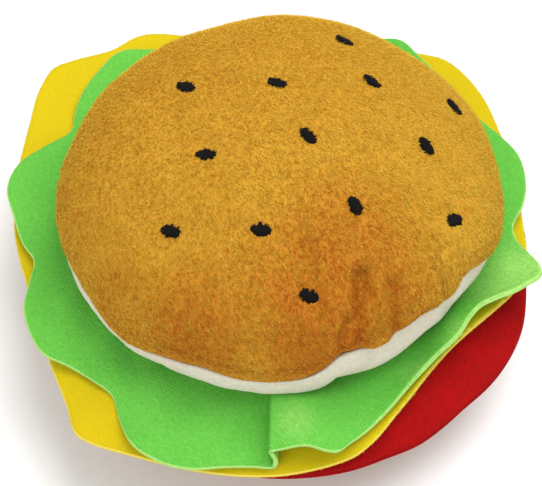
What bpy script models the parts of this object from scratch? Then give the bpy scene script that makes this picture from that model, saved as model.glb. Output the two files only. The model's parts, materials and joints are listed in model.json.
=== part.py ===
"""A plush hamburger toy: two stuffed buns with felt lettuce, cheese, tomato and a patty between them.

The parts stand on the table at z = 0, and the thread that tacks them together runs up the Z axis.
The sheets droop a little more at one side than at the other, always in the same proportion from one sheet
to the next, so neighbours stay clear of each other as they turn about the thread.
"""

import math

import bmesh
import bpy
from mathutils import Matrix, Vector

MM = 0.001

# Driving dimensions.
BUN_RADIUS = 65 * MM
SEAM_RADIUS = 63.2 * MM
SEAM_TO_EQUATOR = 3.5 * MM
DOME_RISE = 33.5 * MM
FACE_DEPTH = 10.7 * MM
PLUSH = 1.6 * MM
LINING = 1.2 * MM
FELT = 1.5 * MM
GAP = 0.5 * MM
TIGHT_GAP = 0.4 * MM
SQUEEZE_GAP = 0.8 * MM

# Levels of the stack, from the table up.
HEEL_SEAM = 17 * MM
LOWER_FACE_TOP = 24 * MM
PATTY_THICKNESS = 10 * MM
TOMATO_PANEL = 1.3 * MM
TOMATO_LAYER_GAP = 0.3 * MM
ROCKING_GAP = 2 * MM

PATTY_BOTTOM = LOWER_FACE_TOP + GAP
PATTY_TOP = PATTY_BOTTOM + PATTY_THICKNESS
TOMATO_BOTTOM = PATTY_TOP + GAP
TOMATO_UPPER = TOMATO_BOTTOM + TOMATO_PANEL + TOMATO_LAYER_GAP
CHEESE_BOTTOM = TOMATO_UPPER + TOMATO_PANEL + GAP
LETTUCE_BOTTOM = CHEESE_BOTTOM + FELT + GAP
LETTUCE_TOP = LETTUCE_BOTTOM + FELT
FACE_BOTTOM = LETTUCE_TOP + ROCKING_GAP
SEAM_LEVEL = FACE_BOTTOM + FACE_DEPTH
EQUATOR_LEVEL = SEAM_LEVEL + SEAM_TO_EQUATOR

# Lower bun and patty.
HEEL_RADIUS = 61.5 * MM
HEEL_SEAM_RADIUS = 60.8 * MM
HEEL_FLAT_RADIUS = 38 * MM
PATTY_RADIUS = 63 * MM

# The upper bun's lining rounds up from a flat middle, which lets the bun rock over the lettuce.
FACE_FLAT_RADIUS = 38 * MM
FACE_SIDE = 9 * MM

# The tack thread and the holes that it has worn in each layer.
TACK_RADIUS = 1.2 * MM
TACK_HOLE = 1.6 * MM
FACE_HOLE = 2.2 * MM
KNOT_RADIUS = 3.2 * MM
KNOT_HEIGHT = 2.6 * MM
THREAD_RADIUS = 0.35 * MM

# Sheets lie flat out to FLAT_RADIUS and droop beyond it. A lower sheet droops more than a higher one.
FLAT_RADIUS = 56 * MM
DROOP_EASE = 12 * MM
LETTUCE_DROOP = 0.09
CHEESE_DROOP = 0.18
TOMATO_DROOP = 0.30
DROOP_BEARING = math.radians(-60)
DROOP_LEAN = 0.6
TOMATO_RADIUS = 73 * MM
TOMATO_OFFSET = Vector((3 * MM, -5 * MM))

# Outlines as (bearing in degrees from +X, reach in millimetres from the tack).
LETTUCE_LOBES = (
    (-173, 73.5), (-161, 79.5), (-149, 79), (-134, 74), (-120, 82.5), (-111, 83), (-99, 80.5), (-91, 79),
    (-85, 75), (-78, 77.5), (-70, 72), (-59, 67.5), (-45, 66.5), (-32, 67), (-22, 70), (-12, 77.5), (0, 70.5),
    (12, 75.5), (25, 80), (37, 77), (48, 73), (58, 81), (67, 86), (78, 82), (95, 77), (108, 78), (120, 86),
    (131, 85), (145, 76.5), (156, 81.5), (165, 84.5), (176, 78),
)
CHEESE_SIDES = (
    (-168, 75.5), (-149, 78.5), (-138, 83.5), (-131, 86.5), (-122, 85.5), (-107, 82), (-91, 80.5), (-76, 78),
    (-67, 76), (-56, 71.5), (-44, 69.5), (-32, 69.5), (-19, 71.5), (-8, 74), (8, 74), (22, 77), (35, 82),
    (45, 87.5), (53, 90), (61, 88), (75, 83), (95, 82), (110, 88), (118, 94), (128, 98.5), (134, 96.5),
    (145, 89.5), (156, 84.5), (176, 79.5),
)

# Seeds as (bearing in degrees, distance from the tack in millimetres, turn of the seed's length in degrees).
SEEDS = (
    (65, 44.5, -40), (145, 33, -30), (93, 17, -35), (38, 33.5, -45), (22, 54.5, -55), (-158, 22.5, -12),
    (-23, 8.5, -50), (0, 41.5, -60), (-51, 33, -65), (-26, 54, 35), (-135, 43, -25), (-99, 34, -15),
    (-81, 51, -18),
)
SEED_HALF_LENGTH = 2.6 * MM
SEED_HALF_WIDTH = 1.45 * MM
SEED_HALF_HEIGHT = 0.55 * MM

# Facets round each piece.
OUTER_STEPS = 40
INNER_STEPS = 24
SHEET_STEPS = 60
SMOOTH_ANGLE = math.radians(40)


# Finishes.


def fabric(name, colour, roughness=0.9):
    """A cloth material with that colour."""
    made = bpy.data.materials.new(name)
    made.use_nodes = True
    shader = made.node_tree.nodes["Principled BSDF"]
    shader.inputs["Base Color"].default_value = (*colour, 1)
    shader.inputs["Roughness"].default_value = roughness
    shader.inputs["Metallic"].default_value = 0
    return made


def finishes():
    """Every material of the toy, by name."""
    return {
        "bun_plush": fabric("bun_plush", (0.60, 0.31, 0.03)),
        "cream_lining": fabric("cream_lining", (0.78, 0.74, 0.66)),
        "seed_thread": fabric("seed_thread", (0.012, 0.011, 0.012), 0.6),
        "lettuce_fleece": fabric("lettuce_fleece", (0.14, 0.50, 0.06)),
        "cheese_felt": fabric("cheese_felt", (0.78, 0.62, 0.01)),
        "tomato_plush": fabric("tomato_plush", (0.40, 0.003, 0.005)),
        "patty_plush": fabric("patty_plush", (0.10, 0.04, 0.018)),
        "polyester_fill": fabric("polyester_fill", (0.85, 0.85, 0.83)),
        "sewing_thread": fabric("sewing_thread", (0.62, 0.42, 0.16), 0.6),
    }


# Shape tools.


def add_object(name, bm, finish):
    """Puts a bmesh into the scene as a named object with its own material."""
    bmesh.ops.recalc_face_normals(bm, faces=bm.faces)
    mesh = bpy.data.meshes.new(name)
    bm.to_mesh(mesh)
    bm.free()
    mesh.materials.append(finish)
    mesh.shade_smooth()
    mesh.set_sharp_from_angle(angle=SMOOTH_ANGLE)
    made = bpy.data.objects.new(name, mesh)
    bpy.context.scene.collection.objects.link(made)
    return made


def turned(profile, steps):
    """A solid of revolution about Z from a closed profile of (radius, height) points."""
    bm = bmesh.new()
    points = [bm.verts.new((radius, 0, height)) for radius, height in profile]
    edges = [
        bm.edges.new((a, b))
        for a, b in zip(points, points[1:] + points[:1])
        if a.co.x > 0 or b.co.x > 0
    ]
    bmesh.ops.spin(
        bm,
        geom=points + edges,
        cent=(0, 0, 0),
        axis=(0, 0, 1),
        angle=2 * math.pi,
        steps=steps,
        use_merge=True,
    )
    bmesh.ops.remove_doubles(bm, verts=bm.verts, dist=1e-6)
    return bm


def arc(centre, radii, start, end, steps):
    """Points on an ellipse in the (radius, height) plane, from one angle in degrees to another."""
    angles = (math.radians(start + (end - start) * i / steps) for i in range(steps + 1))
    return [(centre[0] + radii[0] * math.cos(a), centre[1] + radii[1] * math.sin(a)) for a in angles]


def closed_curve(points):
    """A smooth function of bearing, in radians, through (degrees, millimetres) points all the way round."""
    count = len(points)

    def reach(bearing):
        degrees = math.degrees(bearing)
        first = points[0][0]
        at = (degrees - first) % 360 + first
        i = max(k for k in range(count) if points[k][0] <= at)
        ends = [
            (points[k % count][0] + 360 * (k // count), points[k % count][1]) for k in range(i - 1, i + 3)
        ]
        (b0, r0), (b1, r1), (b2, r2), (b3, r3) = ends
        span = b2 - b1
        slope_1 = (r2 - r0) / (b2 - b0) * span
        slope_2 = (r3 - r1) / (b3 - b1) * span
        t = (at - b1) / span
        return MM * (
            (2 * t**3 - 3 * t**2 + 1) * r1
            + (t**3 - 2 * t**2 + t) * slope_1
            + (3 * t**2 - 2 * t**3) * r2
            + (t**3 - t**2) * slope_2
        )

    return reach


def offset_circle(radius, offset):
    """The reach, by bearing, of a circle whose centre lies offset from the tack."""

    def reach(bearing):
        along = offset.x * math.cos(bearing) + offset.y * math.sin(bearing)
        return along + math.sqrt(radius**2 - offset.length_squared + along**2)

    return reach


def droop(radius, bearing):
    """How far a sheet of slope 1 has sunk at that distance and bearing from the tack."""
    beyond = max(0, radius - FLAT_RADIUS)
    lean = 1 + DROOP_LEAN * math.cos(bearing - DROOP_BEARING)
    return lean * beyond**2 / (beyond + DROOP_EASE)


def sheet(name, finish, reach, bottom, thickness, slope):
    """A sheet of cloth round the tack, out to reach(bearing), whose free rim droops."""
    rings = [TACK_HOLE, FLAT_RADIUS, FLAT_RADIUS + 1 * MM, FLAT_RADIUS + 2 * MM]
    profile = [(r, bottom + thickness) for r in rings] + [(r, bottom) for r in reversed(rings)]
    bm = turned(profile, SHEET_STEPS)
    for vertex in bm.verts:
        radius = vertex.co.xy.length
        share = max(0, radius - FLAT_RADIUS) / (2 * MM)
        if share > 0:
            bearing = math.atan2(vertex.co.y, vertex.co.x)
            across = FLAT_RADIUS + share * (reach(bearing) - FLAT_RADIUS)
            vertex.co.xy *= across / radius
            vertex.co.z -= slope * droop(across, bearing)
    return add_object(name, bm, finish)


def thread_ring(name, finish, radius, level):
    """The seam thread of a stuffed piece, one ring of stitches."""
    return add_object(
        name, turned(arc((radius, level), (THREAD_RADIUS, THREAD_RADIUS), 0, 270, 3), INNER_STEPS), finish
    )


# The upper bun.


def crown_height(radius):
    """The height of the crown's outer surface at that distance from the tack."""
    return EQUATOR_LEVEL + DOME_RISE * math.sqrt(1 - (radius / BUN_RADIUS) ** 2)


def crown_outline(inset, steps):
    """The crown's outer surface moved in by inset, from the middle of its top down to the seam."""
    dome = arc((0, EQUATOR_LEVEL), (BUN_RADIUS - inset, DOME_RISE - inset), 90, 0, steps)
    dome[0] = (0, dome[0][1])
    return dome + [(SEAM_RADIUS - inset, SEAM_LEVEL)]


def crown(finish):
    """The domed top of the upper bun, open below, where its lining is sewn in."""
    outline = crown_outline(0, 7) + crown_outline(PLUSH, 5)[::-1]
    return add_object("top_bun_crown", turned(outline, OUTER_STEPS), finish)


def face_profile(inset):
    """The cream underside of the upper bun, from its rim in to the tack, moved in by inset."""
    rim = SEAM_RADIUS - PLUSH - SQUEEZE_GAP - inset
    floor = FACE_BOTTOM + inset
    side = arc((FACE_FLAT_RADIUS, floor + FACE_SIDE), (rim - FACE_FLAT_RADIUS, FACE_SIDE), 0, -90, 6)
    return [(rim, SEAM_LEVEL - 0.3 * MM)] + side


def top_face(finish):
    """The lining that closes the upper bun, a shallow bowl with a hole for the tack."""
    outer = face_profile(0) + [(FACE_HOLE, FACE_BOTTOM)]
    inner = [(FACE_HOLE, FACE_BOTTOM + LINING)] + face_profile(LINING)[::-1]
    return add_object("top_bun_face", turned(outer + inner, OUTER_STEPS), finish)


def top_stuffing(finish):
    """The filling of the upper bun, with a hollow where the upper knot sits."""
    inside = LINING + 2 * TIGHT_GAP + 2 * THREAD_RADIUS
    lower = face_profile(inside)[1:]
    rise = SEAM_TO_EQUATOR + DOME_RISE - PLUSH - 3 * MM
    upper = arc((0, SEAM_LEVEL + 2 * MM), (lower[0][0], rise), 0, 90, 5)
    upper[-1] = (0, upper[-1][1])
    hollow_radius = KNOT_RADIUS + 1 * MM
    hollow_top = FACE_BOTTOM + LINING + TIGHT_GAP + KNOT_HEIGHT + 1 * MM
    hollow = [(0, hollow_top), (hollow_radius, hollow_top), (hollow_radius, FACE_BOTTOM + inside)]
    return add_object("top_bun_stuffing", turned(upper + hollow + lower[::-1], INNER_STEPS), finish)


def seed(index, bearing, distance, turn, finish):
    """One sesame seed of satin stitch, lying on the crown."""
    around = math.radians(bearing)
    at = distance * MM * Vector((math.cos(around), math.sin(around)))
    height = crown_height(at.length)
    across = at / BUN_RADIUS**2
    normal = Vector((across.x, across.y, (height - EQUATOR_LEVEL) / DOME_RISE**2)).normalized()
    bm = bmesh.new()
    bmesh.ops.create_uvsphere(bm, u_segments=8, v_segments=5, radius=1)
    bmesh.ops.scale(bm, vec=(SEED_HALF_LENGTH, SEED_HALF_WIDTH, SEED_HALF_HEIGHT), verts=bm.verts)
    made = add_object(f"sesame_seed_{index:02d}", bm, finish)
    made.rotation_mode = "QUATERNION"
    lean = Vector((0, 0, 1)).rotation_difference(normal)
    made.rotation_quaternion = lean @ Matrix.Rotation(math.radians(turn), 3, "Z").to_quaternion()
    made.location = Vector((at.x, at.y, height)) + normal * (SEED_HALF_HEIGHT + TIGHT_GAP)
    return made


# The lower bun and the patty.


def heel_outline(inset):
    """The lower bun's outer surface moved in by inset, from the middle of its flat foot up to the seam."""
    bulge = arc(
        (HEEL_FLAT_RADIUS, 12 * MM),
        (HEEL_RADIUS - HEEL_FLAT_RADIUS - inset, 12 * MM - inset),
        -90,
        0,
        5,
    )
    return [(0, inset)] + bulge + [(HEEL_SEAM_RADIUS - inset, HEEL_SEAM)]


def heel(finish):
    """The tan underside of the lower bun, a bowl with a flat foot."""
    outline = heel_outline(0) + heel_outline(PLUSH)[::-1]
    return add_object("bottom_bun_heel", turned(outline, OUTER_STEPS), finish)


def lower_face_profile(inset):
    """The cream top of the lower bun moved in by inset, from its rim to the tack."""
    rim = HEEL_SEAM_RADIUS - PLUSH - TIGHT_GAP - inset
    shoulder = 18 * MM
    rise = LOWER_FACE_TOP - HEEL_SEAM + 1 * MM - inset
    return arc((rim - shoulder, HEEL_SEAM - 1 * MM), (shoulder, rise), 0, 90, 4)


def bottom_face(finish):
    """The lining that closes the lower bun."""
    outer = lower_face_profile(0) + [(TACK_HOLE, LOWER_FACE_TOP)]
    inner = [(TACK_HOLE, LOWER_FACE_TOP - LINING)] + lower_face_profile(LINING)[::-1]
    return add_object("bottom_bun_face", turned(outer + inner, OUTER_STEPS), finish)


def bottom_stuffing(finish):
    """The filling of the lower bun, with a hollow where the lower knot sits."""
    inside = PLUSH + TIGHT_GAP
    lower = heel_outline(inside)[:-1]
    upper = lower_face_profile(LINING + THREAD_RADIUS * 2 + 2 * TIGHT_GAP)[1:]
    hollow_radius = KNOT_RADIUS + 1 * MM
    hollow_floor = LOWER_FACE_TOP - LINING - TIGHT_GAP - KNOT_HEIGHT - 1 * MM
    hollow = [(hollow_radius, upper[-1][1]), (hollow_radius, hollow_floor), (0, hollow_floor)]
    return add_object("bottom_bun_stuffing", turned(lower + upper + hollow, INNER_STEPS), finish)


def patty_half(name, finish, side):
    """One plush panel of the patty: side is 1 for the upper panel and -1 for the lower one."""
    middle = (PATTY_BOTTOM + PATTY_TOP) / 2
    edge = 7 * MM
    half = PATTY_THICKNESS / 2

    def curve(inset):
        radii = (edge - inset, side * (half - inset - TIGHT_GAP / 2))
        return arc((PATTY_RADIUS - edge, middle + side * TIGHT_GAP / 2), radii, 0, 90, 2)

    outer = curve(0) + [(TACK_HOLE, middle + side * half)]
    inner = [(TACK_HOLE, middle + side * (half - PLUSH))] + curve(PLUSH)[::-1]
    return add_object(name, turned(outer + inner, OUTER_STEPS), finish)


def patty_wadding(finish):
    """The pad inside the patty."""
    middle = (PATTY_BOTTOM + PATTY_TOP) / 2
    half = PATTY_THICKNESS / 2 - PLUSH - TIGHT_GAP
    rim = PATTY_RADIUS - PLUSH - 2 * THREAD_RADIUS - 3 * TIGHT_GAP
    side = arc((rim - 5 * MM, middle), (5 * MM, half), -90, 90, 4)
    outline = [(TACK_HOLE, middle - half)] + side + [(TACK_HOLE, middle + half)]
    return add_object("patty_wadding", turned(outline, INNER_STEPS), finish)


# Threads.


def tack(finish):
    """The tack thread up the middle of the stack, with its lower knot inside the lower bun."""
    knot_top = LOWER_FACE_TOP - LINING - TIGHT_GAP
    knot = arc((0, knot_top - KNOT_HEIGHT / 2), (KNOT_RADIUS, KNOT_HEIGHT / 2), -90, 55, 4)
    knot[0] = (0, knot[0][1])
    profile = knot + [(TACK_RADIUS, knot_top), (TACK_RADIUS, LETTUCE_TOP), (0, LETTUCE_TOP)]
    return add_object("tack_thread", turned(profile, 12), finish)


def upper_knot(finish):
    """The knot and thread end that hold the upper bun to the tack."""
    knot_bottom = FACE_BOTTOM + LINING + TIGHT_GAP
    knot = arc((0, knot_bottom + KNOT_HEIGHT / 2), (KNOT_RADIUS, KNOT_HEIGHT / 2), 90, -55, 4)
    knot[0] = (0, knot[0][1])
    stem_end = LETTUCE_TOP + TIGHT_GAP
    profile = knot + [(TACK_RADIUS, knot_bottom), (TACK_RADIUS, stem_end), (0, stem_end)]
    return add_object("upper_knot", turned(profile, 12), finish)


def clear_scene():
    """Removes every object from the scene."""
    for old in list(bpy.data.objects):
        bpy.data.objects.remove(old)


def build():
    """Makes every piece of the toy."""
    clear_scene()
    look = finishes()

    heel(look["bun_plush"])
    bottom_stuffing(look["polyester_fill"])
    bottom_face(look["cream_lining"])
    heel_thread_radius = HEEL_SEAM_RADIUS - PLUSH - LINING - 2 * TIGHT_GAP - THREAD_RADIUS
    thread_ring("bottom_seam_thread", look["sewing_thread"], heel_thread_radius, HEEL_SEAM - 0.6 * MM)
    tack(look["sewing_thread"])

    patty_half("patty_upper", look["patty_plush"], 1)
    patty_half("patty_lower", look["patty_plush"], -1)
    patty_wadding(look["polyester_fill"])
    patty_middle = (PATTY_BOTTOM + PATTY_TOP) / 2
    patty_thread_radius = PATTY_RADIUS - PLUSH - THREAD_RADIUS - TIGHT_GAP
    thread_ring("patty_seam_thread", look["sewing_thread"], patty_thread_radius, patty_middle)

    tomato_reach = offset_circle(TOMATO_RADIUS, TOMATO_OFFSET)
    sheet("tomato_lower", look["tomato_plush"], tomato_reach, TOMATO_BOTTOM, TOMATO_PANEL, TOMATO_DROOP)
    sheet("tomato_upper", look["tomato_plush"], tomato_reach, TOMATO_UPPER, TOMATO_PANEL, TOMATO_DROOP)
    cheese_reach = closed_curve(CHEESE_SIDES)
    sheet("cheese_slice", look["cheese_felt"], cheese_reach, CHEESE_BOTTOM, FELT, CHEESE_DROOP)
    lettuce_reach = closed_curve(LETTUCE_LOBES)
    sheet("lettuce_leaf", look["lettuce_fleece"], lettuce_reach, LETTUCE_BOTTOM, FELT, LETTUCE_DROOP)

    upper_knot(look["sewing_thread"])
    top_face(look["cream_lining"])
    top_stuffing(look["polyester_fill"])
    top_thread_radius = SEAM_RADIUS - PLUSH - SQUEEZE_GAP - LINING - TIGHT_GAP - THREAD_RADIUS
    thread_ring("top_seam_thread", look["sewing_thread"], top_thread_radius, SEAM_LEVEL - 0.7 * MM)
    crown(look["bun_plush"])
    for index, (bearing, distance, turn) in enumerate(SEEDS, start=1):
        seed(index, bearing, distance, turn, look["seed_thread"])


build()
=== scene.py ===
"""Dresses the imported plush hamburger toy: stuffed buns with pile, cut cloth sheets, and satin-stitched seeds.

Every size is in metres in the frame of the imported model, whose Z axis is the thread that tacks the layers
together. Bearings are angles about that thread, anticlockwise from +X as seen from above.
"""

from __future__ import annotations

import json
import logging
import math
from dataclasses import dataclass, field
from enum import Enum
from typing import Callable, Iterator, Sequence

import bmesh
import bpy
import numpy as np
from mathutils import Matrix, Vector
from mathutils.bvhtree import BVHTree

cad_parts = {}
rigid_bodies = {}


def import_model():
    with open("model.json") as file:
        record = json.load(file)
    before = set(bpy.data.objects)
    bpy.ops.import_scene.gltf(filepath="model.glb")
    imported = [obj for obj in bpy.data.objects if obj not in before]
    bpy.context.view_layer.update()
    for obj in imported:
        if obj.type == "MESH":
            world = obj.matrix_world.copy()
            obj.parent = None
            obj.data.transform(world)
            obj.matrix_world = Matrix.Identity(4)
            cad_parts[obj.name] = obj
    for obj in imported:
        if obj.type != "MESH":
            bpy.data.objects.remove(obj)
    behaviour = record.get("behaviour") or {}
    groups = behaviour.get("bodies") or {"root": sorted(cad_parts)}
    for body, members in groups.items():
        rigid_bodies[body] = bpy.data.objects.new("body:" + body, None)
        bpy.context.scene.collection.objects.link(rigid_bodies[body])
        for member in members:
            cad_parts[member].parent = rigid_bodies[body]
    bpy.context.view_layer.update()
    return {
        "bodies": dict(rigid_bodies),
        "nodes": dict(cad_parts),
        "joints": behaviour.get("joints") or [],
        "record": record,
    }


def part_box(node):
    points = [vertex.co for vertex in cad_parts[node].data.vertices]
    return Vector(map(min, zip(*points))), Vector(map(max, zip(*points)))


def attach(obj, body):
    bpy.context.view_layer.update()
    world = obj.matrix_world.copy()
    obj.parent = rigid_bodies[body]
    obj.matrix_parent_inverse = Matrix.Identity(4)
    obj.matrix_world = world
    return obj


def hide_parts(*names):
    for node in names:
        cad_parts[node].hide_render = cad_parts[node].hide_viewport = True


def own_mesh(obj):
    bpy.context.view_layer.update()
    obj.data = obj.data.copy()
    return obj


MM = 0.001
LOG = logging.getLogger("plush_hamburger")

Colour = tuple[float, float, float, float]
Field = Callable[[np.ndarray], np.ndarray]
Seat = Callable[[bpy.types.Object], None]


def dye(red: int, green: int, blue: int) -> Colour:
    """Turns a display colour into the linear colour that shaders use.

    Args:
        red: Red, from 0 to 255.
        green: Green, from 0 to 255.
        blue: Blue, from 0 to 255.

    Returns:
        The linear colour with an alpha of 1.
    """
    shares = [channel / 255 for channel in (red, green, blue)]
    linear = [share / 12.92 if share <= 0.04045 else ((share + 0.055) / 1.055) ** 2.4 for share in shares]
    return (linear[0], linear[1], linear[2], 1.0)


# Curves and noise over the plan of the toy.


@dataclass(frozen=True)
class BearingCurve:
    """A length that varies smoothly with bearing, through a few set points.

    Attributes:
        points: Pairs of bearing in degrees, in rising order from -180, and length in millimetres.
    """

    points: tuple[tuple[float, float], ...]

    def middling(self) -> float:
        """The mean of the set lengths, in metres."""
        return MM * sum(length for _, length in self.points) / len(self.points)

    def at(self, bearing: np.ndarray) -> np.ndarray:
        """Reads the curve.

        Args:
            bearing: Bearings in radians.

        Returns:
            The length at each bearing, in metres.
        """
        bearings, lengths = (np.array(column, float) for column in zip(*self.points))
        knots = np.concatenate([bearings - 360, bearings, bearings + 360])
        values = np.tile(lengths, 3)
        slopes = np.gradient(values, knots)
        wanted = (np.degrees(bearing) + 180) % 360 - 180
        left = np.searchsorted(knots, wanted, side="right") - 1
        span = knots[left + 1] - knots[left]
        t = (wanted - knots[left]) / span
        rise = values[left + 1] - values[left]
        start, end = slopes[left] * span, slopes[left + 1] * span
        return MM * (
            values[left] + t * (start + t * (3 * rise - 2 * start - end + t * (start + end - 2 * rise)))
        )


def level_curve(length_mm: float) -> BearingCurve:
    """A curve that has one value all the way round."""
    return BearingCurve(tuple((bearing, length_mm) for bearing in (-180, -90, 0, 90)))


def smooth_step(value: np.ndarray, start: float, end: float) -> np.ndarray:
    """Rises smoothly from 0 at start to 1 at end."""
    t = np.clip((value - start) / (end - start), 0, 1)
    return t * t * (3 - 2 * t)


@dataclass(frozen=True)
class Ripple:
    """Gentle unevenness, a sum of plane waves in set directions.

    Attributes:
        wavelength: The mean distance between crests.
        height: The height of the unevenness.
        seed: Picks the directions and phases.
        waves: How many waves are summed.
    """

    wavelength: float
    height: float
    seed: int
    waves: int = 9

    def at(self, points: np.ndarray) -> np.ndarray:
        """Reads the unevenness.

        Args:
            points: Points, one a row, of two or three coordinates.

        Returns:
            One height for each point.
        """
        draw = np.random.default_rng(self.seed)
        waves = draw.normal(size=(self.waves, points.shape[1]))
        waves /= np.linalg.norm(waves, axis=1, keepdims=True)
        waves *= 2 * math.pi / (self.wavelength * draw.uniform(0.7, 1.4, (self.waves, 1)))
        phase = draw.uniform(0, 2 * math.pi, self.waves)
        return self.height * np.sin(points @ waves.T + phase).mean(axis=1) * math.sqrt(self.waves)


def distance_to_run(points: np.ndarray, start: tuple[float, float], end: tuple[float, float]) -> np.ndarray:
    """The plan distance from points to a straight run, whose ends are given in metres."""
    first, along = np.array(start), np.array(end) - np.array(start)
    share = np.clip((points[:, :2] - first) @ along / max(along @ along, 1e-12), 0, 1)
    return np.linalg.norm(points[:, :2] - first - share[:, None] * along, axis=1)


# Mesh tools.


def read_points(piece: bpy.types.Object) -> np.ndarray:
    """The vertices of a piece, one a row."""
    flat = np.zeros(len(piece.data.vertices) * 3)
    piece.data.vertices.foreach_get("co", flat)
    return flat.reshape(-1, 3)


def write_points(piece: bpy.types.Object, points: np.ndarray) -> None:
    """Moves the vertices of a piece to new places."""
    piece.data.vertices.foreach_set("co", points.astype(np.float32).ravel())
    piece.data.update()


def link_piece(name: str, mesh: bpy.types.Mesh, finishes: Sequence[bpy.types.Material]) -> bpy.types.Object:
    """Puts a mesh into the scene as a smooth-shaded piece.

    Args:
        name: The piece's name.
        mesh: Its finished mesh.
        finishes: Its materials, in the order of its faces' material numbers.

    Returns:
        The new object, at the origin.
    """
    mesh.name = name
    for finish in finishes:
        mesh.materials.append(finish)
    mesh.shade_smooth()
    piece = bpy.data.objects.new(name, mesh)
    bpy.context.scene.collection.objects.link(piece)
    return piece


def mesh_of(shape: bmesh.types.BMesh) -> bpy.types.Mesh:
    """Turns a bmesh into a mesh and frees it."""
    mesh = bpy.data.meshes.new("shape")
    shape.to_mesh(mesh)
    shape.free()
    return mesh


def mount(piece: bpy.types.Object, body: str, stands_for: Sequence[str] = ()) -> None:
    """Makes a piece ride on a body and hides the imported nodes that it replaces.

    Args:
        piece: The finished piece.
        body: The body that carries it.
        stands_for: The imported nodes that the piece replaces.
    """
    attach(piece, body)
    if stands_for:
        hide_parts(*stands_for)
    LOG.info("%s rides on %s, %d faces", piece.name, body, len(piece.data.polygons))


# Finishes.


class Bench:
    """Builds one node tree, with short calls to add and join nodes."""

    def __init__(self, tree: bpy.types.NodeTree) -> None:
        """Takes the tree to build."""
        self.tree = tree

    @property
    def shader(self) -> bpy.types.Node:
        """The material's main shader."""
        return self.tree.nodes["Principled BSDF"]

    def add(self, kind: str, settings: dict | None = None, **sockets: object) -> bpy.types.Node:
        """Adds a node.

        Args:
            kind: The node's type, without its prefix.
            settings: Values for the node's own properties.
            **sockets: A value or an output socket for each named input, with _ for a space.

        Returns:
            The new node.
        """
        node = self.tree.nodes.new(f"ShaderNode{kind}")
        for name, value in (settings or {}).items():
            setattr(node, name, value)
        for name, value in sockets.items():
            self.feed(node.inputs[name.replace("_", " ")], value)
        return node

    def feed(self, socket: bpy.types.NodeSocket, value: object) -> None:
        """Sets a socket to a value, or joins an output to it."""
        if isinstance(value, bpy.types.NodeSocket):
            self.tree.links.new(value, socket)
        else:
            socket.default_value = value

    def sum_up(self, operation: str, *values: object) -> bpy.types.NodeSocket:
        """Adds a Math node.

        Args:
            operation: The Math node's operation.
            *values: Its values, numbers or output sockets, in order.

        Returns:
            The node's output.
        """
        node = self.tree.nodes.new("ShaderNodeMath")
        node.operation = operation
        for socket, value in zip(node.inputs, values):
            self.feed(socket, value)
        return node.outputs[0]

    def blend(self, share: object, first: object, second: object) -> bpy.types.NodeSocket:
        """Mixes two colours and returns the mixed colour's socket."""
        node = self.tree.nodes.new("ShaderNodeMix")
        node.data_type = "RGBA"
        colours = [socket for socket in node.inputs if socket.type == "RGBA"]
        self.feed(node.inputs[0], share)
        self.feed(colours[0], first)
        self.feed(colours[1], second)
        return next(socket for socket in node.outputs if socket.type == "RGBA")


def open_group(
    name: str, inputs: dict[str, tuple[str, object]], outputs: dict[str, str]
) -> bpy.types.NodeTree:
    """Starts a shader node group with named sockets.

    Args:
        name: The group's name.
        inputs: The kind (Float or Color) and the default value of each input.
        outputs: The kind (Float, Color or Vector) of each output.

    Returns:
        The group, with its input and output nodes.
    """
    group = bpy.data.node_groups.new(name, "ShaderNodeTree")
    for label, (kind, value) in inputs.items():
        socket = group.interface.new_socket(name=label, in_out="INPUT", socket_type=f"NodeSocket{kind}")
        socket.default_value = value
    for label, kind in outputs.items():
        group.interface.new_socket(name=label, in_out="OUTPUT", socket_type=f"NodeSocket{kind}")
    group.nodes.new("NodeGroupInput")
    group.nodes.new("NodeGroupOutput")
    return group


def mottle_group() -> bpy.types.NodeTree:
    """Soft patches of a second colour, with a finer grain of it, as on dyed pile."""
    group = open_group(
        "dye_mottle",
        {
            "Colour": ("Color", (0.5, 0.5, 0.5, 1)),
            "Second": ("Color", (0.3, 0.3, 0.3, 1)),
            "Blotch Scale": ("Float", 60.0),
            "Grain Scale": ("Float", 900.0),
            "Amount": ("Float", 0.5),
        },
        {"Colour": "Color"},
    )
    bench = Bench(group)
    given = group.nodes["Group Input"].outputs
    place = bench.add("TexCoord").outputs["Object"]
    blotch = bench.add("TexNoise", Vector=place, Scale=given["Blotch Scale"], Detail=2.0).outputs[0]
    grain = bench.add("TexNoise", Vector=place, Scale=given["Grain Scale"], Detail=3.0).outputs[0]
    both = bench.sum_up("MULTIPLY_ADD", grain, 0.6, bench.sum_up("MULTIPLY", blotch, 0.4))
    spread = bench.add("MapRange", {"clamp": True}, Value=both, From_Min=0.38, From_Max=0.62).outputs[0]
    share = bench.sum_up("MULTIPLY", spread, given["Amount"])
    bench.feed(group.nodes["Group Output"].inputs[0], bench.blend(share, given["Colour"], given["Second"]))
    return group


def nap_group() -> bpy.types.NodeTree:
    """The relief of short fibres that all lie one way."""
    group = open_group(
        "nap_relief",
        {"Fibre Scale": ("Float", 1500.0), "Stretch": ("Float", 0.3), "Relief": ("Float", 0.4 * MM)},
        {"Normal": "Vector"},
    )
    bench = Bench(group)
    given = group.nodes["Group Input"].outputs
    place = bench.add("TexCoord").outputs["Object"]
    lie = bench.add("CombineXYZ", X=1.0, Y=given["Stretch"], Z=1.0).outputs[0]
    drawn = bench.add("VectorMath", {"operation": "MULTIPLY"})
    bench.feed(drawn.inputs[0], place)
    bench.feed(drawn.inputs[1], lie)
    fibre = bench.add("TexNoise", Vector=drawn.outputs[0], Scale=given["Fibre Scale"], Detail=3.0).outputs[0]
    bump = bench.add("Bump", Strength=1.0, Distance=given["Relief"], Height=fibre)
    bench.feed(group.nodes["Group Output"].inputs[0], bump.outputs[0])
    return group


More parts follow.
